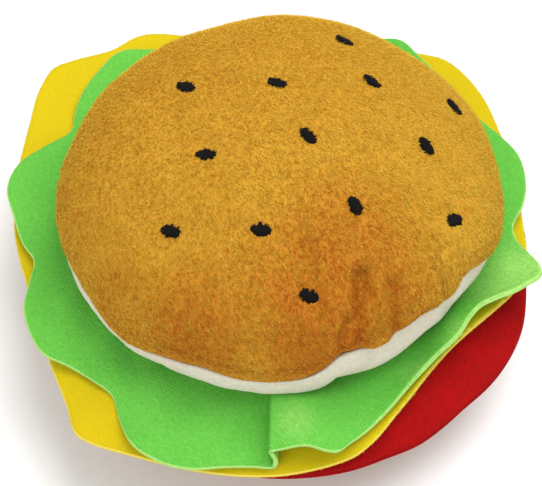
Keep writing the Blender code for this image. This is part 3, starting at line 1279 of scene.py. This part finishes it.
@dataclass(frozen=True)
class Filling:
    """The push of stuffing on a sewn cover, as a cloth simulation.

    Attributes:
        pressure: The outward push.
        slack: How much the cloth is eased, as a share of its size.
        frames: How long it settles.
        relief: The most that a point may move.
    """

    pressure: float = 3.0
    slack: float = 0.02
    frames: int = 14
    relief: float = 0.9 * MM

    def puff(self, cover: bpy.types.Object, held: np.ndarray) -> None:
        """Lets the cloth find its small hollows and swellings, and keeps its set shape.

        Args:
            cover: The closed cover.
            held: Marks the vertices that stay, such as those on the seam.
        """
        set_shape = read_points(cover)
        pins = cover.vertex_groups.new(name="held")
        pins.add([int(number) for number in np.flatnonzero(held)], 1.0, "REPLACE")
        cloth = cover.modifiers.new("filling", "CLOTH")
        settings = cloth.settings
        settings.quality = 6
        settings.mass = 0.1
        settings.tension_stiffness = settings.compression_stiffness = 20
        settings.shear_stiffness = 10
        settings.bending_stiffness = 2
        settings.use_pressure = True
        settings.uniform_pressure_force = self.pressure
        settings.vertex_group_mass = pins.name
        settings.shrink_min = -self.slack
        settings.effector_weights.gravity = 0
        cloth.point_cache.frame_end = self.frames
        scene = bpy.context.scene
        for frame in range(1, self.frames + 1):
            scene.frame_set(frame)
        depsgraph = bpy.context.evaluated_depsgraph_get()
        evaluated = cover.evaluated_get(depsgraph)
        flat = np.zeros(len(evaluated.data.vertices) * 3)
        evaluated.data.vertices.foreach_get("co", flat)
        moved = flat.reshape(-1, 3) - set_shape
        cover.modifiers.clear()
        scene.frame_set(1)
        fine = moved - self.broad_part(cover, moved)
        reach = np.linalg.norm(fine, axis=1, keepdims=True)
        fine *= np.minimum(1, self.relief / np.maximum(reach, 1e-9))
        write_points(cover, set_shape + fine)
        LOG.info("%s settled, moving up to %.2f mm", cover.name, np.linalg.norm(fine, axis=1).max() / MM)

    def broad_part(self, cover: bpy.types.Object, moved: np.ndarray) -> np.ndarray:
        """The part of a movement that neighbours share over a wide patch."""
        ends = np.zeros(len(cover.data.edges) * 2, np.int32)
        cover.data.edges.foreach_get("vertices", ends)
        first, second = ends.reshape(-1, 2).T
        links = np.bincount(np.concatenate([first, second]), minlength=len(moved))[:, None]
        broad = moved.copy()
        for _ in range(30):
            total = np.zeros_like(broad)
            np.add.at(total, first, broad[second])
            np.add.at(total, second, broad[first])
            broad = (broad + total / links) / 2
        return broad


@dataclass(frozen=True)
class Crease:
    """A furrow in the crown, along points in plan, in millimetres."""

    run: tuple[tuple[float, float], ...]
    depth: float
    width: float

    def at(self, points: np.ndarray) -> np.ndarray:
        """How deep the furrow is at each point."""
        ends = [(x * MM, y * MM) for x, y in self.run]
        away = np.min([distance_to_run(points, a, b) for a, b in zip(ends, ends[1:])], axis=0)
        return self.depth * MM * np.exp(-((away / (self.width * MM)) ** 2))


@dataclass
class SesameSeed:
    """A patch of satin stitches across the short way of an oval.

    Attributes:
        half_length: Half of its length.
        half_width: Half of its width at the middle.
        thread: The radius of its thread.
        stitches: How many stitches lie side by side.
        rise: How high they arch.
        shortest: Half of the shortest stitch's span.
    """

    half_length: float = 3.0 * MM
    half_width: float = 1.75 * MM
    thread: float = 0.21 * MM
    stitches: int = 16
    rise: float = 0.6 * MM
    shortest: float = 0.5 * MM

    def stitch(self, shape: bmesh.types.BMesh, along: float, half_span: float, shift: float) -> None:
        """Adds one arched stitch.

        Args:
            shape: The seed so far.
            along: Where the stitch lies on the seed's length.
            half_span: Half of its span.
            shift: How far its middle is off the seed's line.
        """
        radius = (half_span**2 + self.rise**2) / (2 * self.rise)
        half_angle = math.asin(min(1.0, half_span / radius))
        ring = bmesh.ops.create_circle(shape, cap_ends=False, segments=6, radius=self.thread)["verts"]
        centre = Vector((along, shift, self.rise - radius))
        upright = Matrix.Rotation(math.pi / 2, 3, "X")
        bmesh.ops.rotate(shape, verts=ring, cent=(0, 0, 0), matrix=upright)
        bmesh.ops.translate(shape, verts=ring, vec=centre + Vector((0, 0, radius)))
        bmesh.ops.rotate(shape, verts=ring, cent=centre, matrix=Matrix.Rotation(half_angle, 3, "X"))
        edges = list({edge for vertex in ring for edge in vertex.link_edges})
        swept = bmesh.ops.spin(
            shape, geom=ring + edges, cent=centre, axis=(1, 0, 0), angle=-2 * half_angle, steps=5
        )["geom_last"]
        last = [item for item in swept if isinstance(item, bmesh.types.BMEdge)]
        bmesh.ops.holes_fill(shape, edges=edges, sides=8)
        bmesh.ops.holes_fill(shape, edges=last, sides=8)

    def mesh(self, draw: np.random.Generator) -> bpy.types.Mesh:
        """Builds the patch round the origin, with its length along X."""
        shape = bmesh.new()
        for number in range(self.stitches):
            share = (2 * number + 1) / self.stitches - 1
            span = self.half_width * (1 - abs(share) ** 2.6) ** 0.5 * draw.uniform(0.76, 1.24)
            shift = draw.normal(scale=0.2 * MM)
            self.stitch(shape, share * self.half_length, max(span, self.shortest), shift)
        bmesh.ops.recalc_face_normals(shape, faces=shape.faces)
        return mesh_of(shape)


class TopBun:
    """The upper bun: a puffy plush crown with sewn seeds, on a cream face."""

    SEAM_REACH = BearingCurve(
        (
            (-180, 64.7), (-150, 64.8), (-134, 65), (-127, 64.8), (-120, 64.3), (-112, 63.9), (-105, 63.8),
            (-95, 63.9), (-88, 63.8), (-80, 63.3), (-72, 62), (-60, 61.3), (-52, 60.9), (-45, 61),
            (-38, 60.4), (-32, 60.8), (-27, 61.6), (-20, 63), (-8, 63.5), (10, 63.6), (60, 63.8),
            (90, 65.2), (120, 64.5),
        )
    )
    SEAM_LIFT = BearingCurve(
        (
            (-180, 0), (-160, 0), (-150, -0.3), (-142, -1.6), (-134, -2.4), (-127, -1.2), (-121, 0.5),
            (-115, 1.2), (-110, 1.5), (-104, 0.5), (-97, 0.4), (-90, 0.8), (-85, 1), (-80, 2.8),
            (-75, 6.8), (-69, 7.2), (-64, 6.8), (-59, 8.2), (-53, 9.6), (-47, 8.8), (-43, 6.6), (-38, 4.6),
            (-34, 7), (-30, 7.6), (-24, 5.5),
            (-18, 3.8), (-9, 1.5), (0, 0.2), (60, 0), (120, 0),
        )
    )
    BELLY = BearingCurve(
        (
            (-180, 0.3), (-150, 0.2), (-110, 0.3), (-90, 0.7), (-75, 1.1), (-60, 1.5), (-30, 1.8), (0, 1.4),
            (60, 1.5), (120, 1.1),
        )
    )
    FACE_SHOULDER = BearingCurve(
        (
            (-180, 11), (-120, 9.5), (-84, 9), (-79, 9.5), (-75, 12), (-62, 12.5), (-54, 13.5), (-45, 17),
            (-34, 17), (-24, 15), (-12, 13), (0, 12), (60, 12), (120, 12),
        )
    )
    CREASES = (
        Crease(((22.6, -45.3), (22.2, -52.1), (22.6, -57.5), (24, -62)), 3.2, 2.4),
        Crease(((31.3, -46.4), (31.8, -50.9), (33, -55)), 2.0, 1.8),
        Crease(((19.5, -56.7), (17.4, -60.6)), 2.6, 1.7),
        Crease(((44, -38), (48, -42)), 1.2, 2.2),
    )
    SEED_TURNS = (-40, -30, -35, -45, -55, -12, -50, -60, -65, 35, -25, -15, -18)

    def __init__(self, toy: Toy) -> None:
        """Sets the bun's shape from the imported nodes."""
        self.toy = toy
        self.seam_level = toy.bottom("top_bun_crown")
        self.crest = toy.top("top_bun_crown")
        self.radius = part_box("top_bun_crown")[1].x
        face = toy.bottom("top_bun_face")
        self.shape = StuffedShape(
            upper=Panel(self.crest, level_curve(self.radius / MM), self.BELLY, 3.4 * MM, 1.6 * MM),
            lower=Panel(face, self.FACE_SHOULDER, level_curve(0), 0.4 * MM, 1.2 * MM, dish=1.1 * MM),
            seam_reach=self.SEAM_REACH,
            seam_lift=self.SEAM_LIFT,
            seam_level=self.seam_level,
            true_radius=self.radius,
            cells=88,
        )

    def panels(self) -> tuple[bpy.types.Object, bpy.types.Object]:
        """Sews and fills the cover, then parts it at its seam into the crown and the face."""
        effects = self.toy.effects
        crown_ground = PlushGround("bun_plush_ground", *TAN_DYES, toast=dye(176, 104, 28)).material(effects)
        cream = PlushGround("cream_plush_ground", *CREAM_DYES, CREAM_BLOTCHES).material(effects)
        cover, plain = self.shape.build("cover", crown_ground)
        Filling().puff(cover, (plain[:, 1] > 0.999) | ((plain[:, 0] < 0) & (plain[:, 1] < 0.75)))
        crown = part_panel(cover, plain[:, 0] >= 0, "crown_plush", crown_ground)
        face = part_panel(cover, plain[:, 0] <= 0, "top_bun_cream_face", cream)
        bpy.data.objects.remove(cover)
        return crown, face

    def shape_crown(self, crown: bpy.types.Object) -> None:
        """Presses the creases, the gathers at the seam and the hollows under the seeds into the crown."""
        points = read_points(crown)
        normals = normals_of(crown)
        depth = sum(crease.at(points) for crease in self.CREASES)
        for _, _, middle in self.seed_places():
            away = np.hypot(points[:, 0] - middle.x, points[:, 1] - middle.y)
            depth += 0.35 * MM * np.exp(-((away / (3.2 * MM)) ** 2))
        bearing = np.arctan2(points[:, 1], points[:, 0])
        above = np.clip(points[:, 2] - self.seam_level - self.shape.seam_lift.at(bearing), 0, 1)
        low_share = np.exp(-above / (4 * MM)) * smooth_step(above, 0, 1.5 * MM)
        gathers = np.sin(bearing * 37 + 2 * np.sin(bearing * 5)) * np.sin(bearing * 13 + 1)
        depth *= 0.3 + 0.7 * smooth_step(above, 0, 2.5 * MM)
        depth += 0.25 * MM * gathers * low_share
        depth += Ripple(38 * MM, 0.45 * MM, 3).at(points)
        write_points(crown, points - depth[:, None] * normals)

    def seed_places(self) -> Iterator[tuple[str, float, Vector]]:
        """Each packed seed's node, the way it is turned in radians, and its middle."""
        for number, turn in enumerate(self.SEED_TURNS, start=1):
            node = f"sesame_seed_{number:02d}"
            low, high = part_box(node)
            yield node, math.radians(turn), (low + high) / 2

    def seeds(self, crown: bpy.types.Object) -> None:
        """Sews the seeds onto the crown."""
        finish = TwistedThread("seed_thread_black", dye(16, 12, 13), dye(6, 5, 5)).material()
        surface = BVHTree.FromObject(crown, bpy.context.evaluated_depsgraph_get())
        draw = np.random.default_rng(21)
        for node, turn, middle in self.seed_places():
            hit, facing, _, _ = surface.ray_cast(Vector((middle.x, middle.y, 1)), Vector((0, 0, -1)))
            name = node.replace("sesame_seed", "seed_stitches")
            piece = link_piece(name, SesameSeed().mesh(draw), [finish])
            lean = Vector((0, 0, 1)).rotation_difference(facing).to_matrix()
            turned = lean @ Matrix.Rotation(turn, 3, "Z")
            piece.data.transform(Matrix.Translation(hit + 0.25 * MM * facing) @ turned.to_4x4())
            mount(piece, "crown", [node])
            self.squash(piece)

    def squash(self, piece: bpy.types.Object) -> None:
        """Gives a piece of the cover a mesh of its own.

        Args:
            piece: The piece, on the crown's body or the bun's.
        """
        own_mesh(piece)

    def trimmed(self, points: np.ndarray) -> np.ndarray:
        """The share of its length that the pile has: none under a seed, and less by the seam."""
        bearing = np.arctan2(points[:, 1], points[:, 0])
        above = points[:, 2] - self.seam_level - self.shape.seam_lift.at(bearing)
        share = 0.35 + 0.65 * smooth_step(above, 0.5 * MM, 6 * MM)
        clear = above > 0.5 * MM
        for _, turn, middle in self.seed_places():
            x, y = points[:, 0] - middle.x, points[:, 1] - middle.y
            along = x * math.cos(turn) + y * math.sin(turn)
            across = y * math.cos(turn) - x * math.sin(turn)
            clear &= (along / (2.9 * MM)) ** 2 + (across / (1.6 * MM)) ** 2 > 1
        return share * clear

    def pile(self, crown: bpy.types.Object) -> None:
        """Grows the crown's pile, darker where it is airbrushed and, as painted shade, along the creases."""
        strands = (
            Strand("bun_strand_1", dye(224, 188, 66)),
            Strand("bun_strand_2", dye(212, 170, 50)),
            Strand("bun_strand_3", dye(201, 150, 38)),
            Strand("bun_strand_4", dye(195, 125, 25)),
            Strand("bun_strand_5", dye(187, 103, 18)),
        )

        def darkness(points: np.ndarray) -> np.ndarray:
            tone_and_crease_shade = Ripple(14 * MM, 0.05, 8).at(points)
            # Darker fibres along the creases: painted shade in the furrows.
            tone_and_crease_shade += 0.16 * sum(crease.at(points) for crease in self.CREASES) / MM
            drawn_out = points @ np.array([[0.86, 0.5, 0], [-0.17, 0.28, 0], [0, 0, 0.6]]).T
            tone_and_crease_shade += Ripple(1.0 * MM, 0.2, 9, 48).at(drawn_out)
            # Paler fibres on the right of the crown: partly the plush's own lighter colour, partly painted
            # light on the side that faces the overhead lamp.
            pale = smooth_step(points[:, 0], 15 * MM, 50 * MM)
            pale *= smooth_step(points[:, 1], -40 * MM, -10 * MM)
            return 0.25 + 0.55 * sprayed_at(TOASTING, points) - 0.2 * pale + tone_and_crease_shade

        def seat(piece: bpy.types.Object) -> None:
            mount(piece, "crown")
            self.squash(piece)

        outside = self.outside(crown)
        Pile("crown_pile", strands, 5.0, 1.3 * MM, 0.26 * MM, 1.2, (0.5, -0.85, 0), 5).grow(
            outside, self.trimmed, darkness, seat
        )
        bpy.data.objects.remove(outside)

    def filling(self) -> None:
        """Stuffs the bun with a pad of fibre that lies clear of the cover."""
        foot, room = self.toy.bottom("top_bun_stuffing") + 1.5 * MM, 4 * MM
        crest = self.crest - room
        fibre = Felt("bun_fill_fibre", *FILL_DYES, FILL_GRAIN).material(self.toy.effects)
        shape = StuffedShape(
            upper=Panel(crest, level_curve(self.radius / MM - 6), level_curve(0), 2 * MM, 1 * MM),
            lower=Panel(foot, level_curve(16), level_curve(0), 0.2 * MM, 1 * MM),
            seam_reach=level_curve(self.radius / MM - 6),
            seam_lift=level_curve(0),
            seam_level=self.seam_level,
            true_radius=self.radius - 6 * MM,
            cells=32,
        )
        pad, _ = shape.build("top_bun_filling", fibre)
        refine(pad)
        mount(pad, "upper_bun", ["top_bun_stuffing"])
        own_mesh(pad)

    def outside(self, piece: bpy.types.Object) -> bpy.types.Object:
        """A copy of an open panel before it is thickened, for the pile to stand on."""
        copy = piece.copy()
        copy.data = piece.data.copy()
        bpy.context.scene.collection.objects.link(copy)
        return copy

    def build(self) -> None:
        """Builds the bun."""
        self.filling()
        crown, face = self.panels()
        self.shape_crown(crown)
        self.seeds(crown)
        self.pile(crown)
        thicken(crown, self.shape.upper.thickness)
        mount(crown, "crown", ["top_bun_crown"])
        self.squash(crown)
        thicken(face, self.shape.lower.thickness)
        mount(face, "upper_bun", ["top_bun_face"])
        self.squash(face)


class Sheets:
    """The lettuce, the cheese and the tomato, from the top down."""

    LETTUCE_OUTLINE = BearingCurve(
        (
            (-179, 76.8), (-173, 73.4), (-166, 76.2), (-160, 79.6), (-154, 80.6), (-147.5, 79.6),
            (-143, 76), (-136, 73.8), (-130, 74), (-126, 78), (-120.5, 83.1), (-114.5, 84.7),
            (-107.5, 83.8), (-101, 80), (-96, 78.3), (-91.5, 78), (-88, 77.4), (-84, 76.8), (-81, 78.6),
            (-78.5, 79), (-75, 76.2), (-69, 72.6), (-64, 70.2), (-57.5, 67.4), (-48, 65.8), (-40, 66.8),
            (-34, 66.4), (-30, 67.2), (-26.5, 69.6), (-22, 73.2), (-18, 76), (-14.5, 78.6),
            (-11, 77.4), (-8, 74.2), (-3, 70.1), (1, 69.4), (8, 73.6), (16, 77.5), (23, 79),
            (30, 78.4), (37, 76.9), (48, 79.6),
            (59, 84.2), (64, 86.9), (68, 85), (76, 79), (90, 77), (104, 78), (112, 80.6), (119, 84.3),
            (123, 87.8), (132, 85.8), (142, 80), (146.5, 76.5), (155, 80.9), (160, 84), (167.5, 84.3),
            (174, 80.4),
        )
    )
    LETTUCE_RIM = BearingCurve(
        (
            (-170, -1.5), (-160, -1), (-148, -3), (-134, -4), (-120, -4.5), (-105, -5), (-95, -6.5),
            (-91, -6.3), (-84, -4), (-75, -3.5), (-65, -0.5), (-57, 2), (-48, 5), (-40, 9), (-34, 10.5),
            (-27, 10), (-20, 8), (-12, 5), (0, 2), (15, 0), (30, -1), (50, -1), (70, 0), (110, -0.5),
            (125, 0), (145, -1), (165, -1.5),
        )
    )
    CHEESE_OUTLINE = BearingCurve(
        (
            (-168, 76.2), (-149, 78.4), (-137.5, 83), (-131.5, 87.4), (-128.5, 86.8), (-122, 84.2),
            (-110, 81.4), (-100, 79.5),
            (-92, 78.4), (-84, 77.6), (-78, 77.3), (-74, 76.8), (-70, 75), (-62, 70.2), (-56, 67.6),
            (-49, 65.4), (-42, 64.6), (-35, 65.4), (-29, 67.2), (-24, 69.2), (-19, 71.4), (-12, 73.6),
            (-4, 73.4), (9, 73.6), (22, 77.2), (34, 81.5), (42, 85.9), (49, 88.8), (54.5, 89.8), (61, 87),
            (75, 83), (95, 82), (108, 87), (118, 93.4), (125, 92.7), (132, 96.9), (135.5, 99), (140, 97.1),
            (149, 90.4), (158, 85.7), (177, 79.6),
        )
    )
    CHEESE_RIM = BearingCurve(
        (
            (-170, -3.5), (-150, -5.5), (-131, -7.5), (-110, -8), (-91, -9), (-76, -6), (-60, -1.5),
            (-45, 2), (-32, 3.5), (-19, 3), (-8, 1.5), (10, -1.5), (35, -3), (53, -2), (90, -2.5),
            (128, -1), (150, -2.5), (170, -3.2),
        )
    )
    TOMATO_OUTLINE = BearingCurve(
        (
            (-180, 70), (-160, 69.5), (-140, 70.5), (-120, 72.5), (-105, 74), (-92, 75.4), (-84, 75.6),
            (-75, 75.8), (-66, 75.6), (-58, 76.4), (-52, 76.1), (-46, 75.8), (-37, 76.6), (-28, 76.7),
            (-20, 76.2), (-12, 74.7), (0, 72.6), (20, 71), (50, 69), (90, 68), (130, 69),
        )
    )
    TOMATO_RIM = BearingCurve(
        (
            (-170, -9), (-130, -10.5), (-92, -11), (-65, -10), (-43, -7), (-24, -6), (-11, -5),
            (20, -6), (60, -6), (90, -6), (130, -7), (170, -8),
        )
    )
    LETTUCE_FLAT = BearingCurve(
        ((-180, 54), (-90, 54), (-60, 54), (-42, 52), (-30, 51), (-15, 52), (0, 54), (90, 54))
    )
    GUTTER = BearingCurve(
        ((-180, 0), (-120, 0), (-80, 0), (-68, 0.8), (-58, 1.6), (-48, 1.4), (-38, 0), (0, 0), (90, 0))
    )

    def __init__(self, toy: Toy) -> None:
        """Sets the three sheets' shapes."""
        self.toy = toy
        waves = (Ripple(16 * MM, 0.35 * MM, 11),)
        self.lettuce = CutSheet(
            "lettuce_fleece_leaf", "lettuce", "lettuce_fleece", "lettuce_leaf", self.LETTUCE_OUTLINE,
            self.LETTUCE_RIM, 1.5 * MM, gutter=self.GUTTER, ripples=waves, pleat=Pleat(),
            flat_reach=self.LETTUCE_FLAT,
        )
        self.cheese = CutSheet(
            "cheese_felt_slice", "cheese", "cheese_felt", "cheese_slice", self.CHEESE_OUTLINE,
            self.CHEESE_RIM, 1.5 * MM, gutter=self.GUTTER, ripples=(Ripple(40 * MM, 0.3 * MM, 12),),
        )
        self.tomato_upper = CutSheet(
            "tomato_upper_panel", "tomato", "tomato_plush", "tomato_upper", self.TOMATO_OUTLINE,
            self.TOMATO_RIM, 1.3 * MM,
        )
        self.tomato_lower = CutSheet(
            "tomato_lower_panel", "tomato", "tomato_plush", "tomato_lower", self.TOMATO_OUTLINE,
            self.TOMATO_RIM, 1.3 * MM,
        )

    def declare(self, sheet: CutSheet) -> None:
        """Samples a sheet's cut outline round its rim; the result is not used."""
        bearing = np.linspace(-math.pi, math.pi, 2881)[:-1]
        reach = sheet.outline.at(bearing)

    def build(self) -> None:
        """Builds the sheets and their naps."""
        effects = self.toy.effects
        green = BrushedKnit(
            "lettuce_fleece_knit", dye(106, 190, 72), dye(58, 142, 42), dye(160, 212, 108),
            row_scale=420.0, slant=0.75, relief=0.22 * MM,
        ).material(effects)
        green_cut = Felt("lettuce_cut_edge", dye(160, 206, 112), dye(120, 184, 80)).material(effects)
        yellow = Felt("cheese_felt_cloth", dye(198, 176, 14), dye(182, 154, 9)).material(effects)
        yellow_cut = Felt("cheese_cut_edge", dye(222, 204, 80), dye(206, 180, 36)).material(effects)
        red = PlushGround(
            "tomato_plush_ground", dye(156, 3, 5), dye(118, 1, 3), blotch_scale=120.0, sheen=0.04
        ).material(effects)
        lettuce = self.lettuce.build(green, green_cut)
        cheese = self.cheese.build(yellow, yellow_cut)
        upper = self.tomato_upper.build(red, red)
        lower = self.tomato_lower.build(red, red)
        leaf_edge = (Strand("leaf_edge_1", dye(176, 214, 132)), Strand("leaf_edge_2", dye(130, 194, 90)))
        self.fray(self.lettuce, 9000, 0.45 * MM, leaf_edge)
        felt_edge = (Strand("cheese_edge_1", dye(238, 220, 110)), Strand("cheese_edge_2", dye(222, 192, 50)))
        self.fray(self.cheese, 12000, 0.8 * MM, felt_edge)
        self.declare(self.tomato_lower)
        self.declare(self.tomato_upper)
        self.declare(self.cheese)
        self.declare(self.lettuce)

    def fray(self, sheet: CutSheet, count: int, length: float, strands: tuple[Strand, ...]) -> None:
        """Stands loose fibres along a sheet's cut edge."""
        draw = np.random.default_rng(count)
        places, outward = sheet.edge_points(count, draw)
        edge = Pile(f"{sheet.name}_fray", strands, 0.0, length, 0.16 * MM, 0.3, (0, 0, 1), count)
        share = 0.4 + 0.6 * draw.random(count)

        def darkness(points: np.ndarray) -> np.ndarray:
            return np.full(len(points), 0.5)

        edge.stand(places, outward, share, darkness, lambda piece: mount(piece, sheet.body), draw)


class Pillow:
    """A stuffed round piece of two sewn panels on one body: the bottom bun or the patty."""

    def __init__(self, toy: Toy, shape: StuffedShape, body: str) -> None:
        """Keeps the piece's shape and body."""
        self.toy = toy
        self.shape = shape
        self.body = body

    def panel(
        self, name: str, side: Side, finish: bpy.types.Material, slot: str, node: str, pile: Pile | None
    ) -> None:
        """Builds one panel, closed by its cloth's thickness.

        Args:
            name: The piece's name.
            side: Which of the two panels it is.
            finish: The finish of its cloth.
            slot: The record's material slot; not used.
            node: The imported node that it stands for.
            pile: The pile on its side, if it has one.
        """
        cover, plain = self.shape.build("cover", finish)
        piece = part_panel(cover, plain[:, 0] * side.value >= 0, name, finish)
        bpy.data.objects.remove(cover)
        points = read_points(piece)
        wide = smooth_step(np.hypot(points[:, 0], points[:, 1]), 40 * MM, 55 * MM)
        uneven = Ripple(22 * MM, 0.25 * MM, 17).at(points) * wide
        write_points(piece, points - uneven[:, None] * normals_of(piece))
        if pile is not None:
            pile.grow(piece, self.sides, self.shade, lambda grown: mount(grown, self.body))
        thicken(piece, (self.shape.upper if side is Side.UPPER else self.shape.lower).thickness)
        mount(piece, self.body, [node])

    def sides(self, points: np.ndarray) -> np.ndarray:
        """The share of its length that the pile has: none where the piece lies on its neighbours."""
        out = smooth_step(np.hypot(points[:, 0], points[:, 1]), 52 * MM, 60 * MM)
        return out * (points[:, 2] > 1.2 * MM)

    def shade(self, points: np.ndarray) -> np.ndarray:
        """How dark the pile is at each point."""
        return 0.4 + Ripple(2 * MM, 0.2, 19, 24).at(points)


class BottomBun(Pillow):
    """The lower bun: a tan plush heel closed by a cream face."""

    def __init__(self, toy: Toy) -> None:
        """Sets the bun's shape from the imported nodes."""
        seam = toy.top("bottom_bun_heel")
        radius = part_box("bottom_bun_heel")[1].x
        upper = Panel(toy.top("bottom_bun_face"), level_curve(18), level_curve(0), 0.4 * MM, 1.2 * MM)
        lower = Panel(toy.bottom("bottom_bun_heel"), level_curve(23.5), level_curve(0.7), 5 * MM, 1.6 * MM)
        reach = level_curve(radius / MM - 0.7)
        super().__init__(toy, StuffedShape(upper, lower, reach, level_curve(0), seam, radius), "lower_bun")

    def build(self) -> None:
        """Builds the bun."""
        effects = self.toy.effects
        tan = PlushGround("heel_plush_ground", *TAN_DYES).material(effects)
        cream = PlushGround("heel_cream_ground", *CREAM_DYES, CREAM_BLOTCHES).material(effects)
        strands = (
            Strand("heel_strand_1", dye(218, 180, 66)),
            Strand("heel_strand_2", dye(204, 158, 48)),
            Strand("heel_strand_3", dye(190, 132, 36)),
        )
        pile = Pile("heel_pile", strands, 3.5, 1.0 * MM, 0.28 * MM, 0.8, (0, 0, -1), 31)
        self.panel("bottom_bun_plush", Side.LOWER, tan, "bun_plush", "bottom_bun_heel", pile)
        self.panel("bottom_bun_cream_face", Side.UPPER, cream, "cream_lining", "bottom_bun_face", None)


class Patty(Pillow):
    """The patty: two brown plush panels sewn round a pad."""

    def __init__(self, toy: Toy) -> None:
        """Sets the patty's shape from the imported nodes."""
        low, high = toy.bottom("patty_lower"), toy.top("patty_upper")
        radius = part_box("patty_upper")[1].x
        upper = Panel(high, level_curve(13), level_curve(0), 0.3 * MM, 1.6 * MM)
        lower = Panel(low, level_curve(13), level_curve(0), 0.3 * MM, 1.6 * MM)
        middle = (low + high) / 2
        reach = level_curve(radius / MM)
        super().__init__(toy, StuffedShape(upper, lower, reach, level_curve(0), middle, radius), "patty")

    def build(self) -> None:
        """Builds the patty."""
        brown = PlushGround("patty_plush_ground", dye(84, 48, 28), dye(54, 28, 16)).material(self.toy.effects)
        strands = (
            Strand("patty_strand_1", dye(116, 72, 44)),
            Strand("patty_strand_2", dye(92, 54, 32)),
            Strand("patty_strand_3", dye(66, 36, 20)),
        )
        for seed, side in enumerate(Side, start=41):
            name = f"patty_{side.name.lower()}"
            pile = Pile(f"{name}_pile", strands, 3.0, 0.8 * MM, 0.28 * MM, 0.7, (0, 0, -1), seed)
            self.panel(f"{name}_plush", side, brown, "patty_plush", name, pile)


class Insides:
    """What the covers hide: the filling, the seams' stitches and the tack."""

    def __init__(self, toy: Toy) -> None:
        """Keeps the toy."""
        self.toy = toy

    def build(self) -> None:
        """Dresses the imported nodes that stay."""
        fill = Felt("polyester_fibre", *FILL_DYES, FILL_GRAIN).material(self.toy.effects)
        self.toy.dress(fill, "patty_wadding", "bottom_bun_stuffing")
        thread = TwistedThread("tan_thread", dye(206, 172, 110), dye(164, 128, 70)).material()
        self.toy.dress(
            thread, "tack_thread", "upper_knot", "top_seam_thread", "patty_seam_thread", "bottom_seam_thread"
        )


def main() -> None:
    """Builds the whole dressed toy."""
    logging.basicConfig(level=logging.INFO, format="%(relativeCreated)d %(message)s")
    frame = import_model()
    toy = Toy(frame)
    Studio().build()
    TopBun(toy).build()
    Patty(toy).build()
    BottomBun(toy).build()
    Sheets(toy).build()
    Insides(toy).build()


if __name__ == "__main__":
    main()
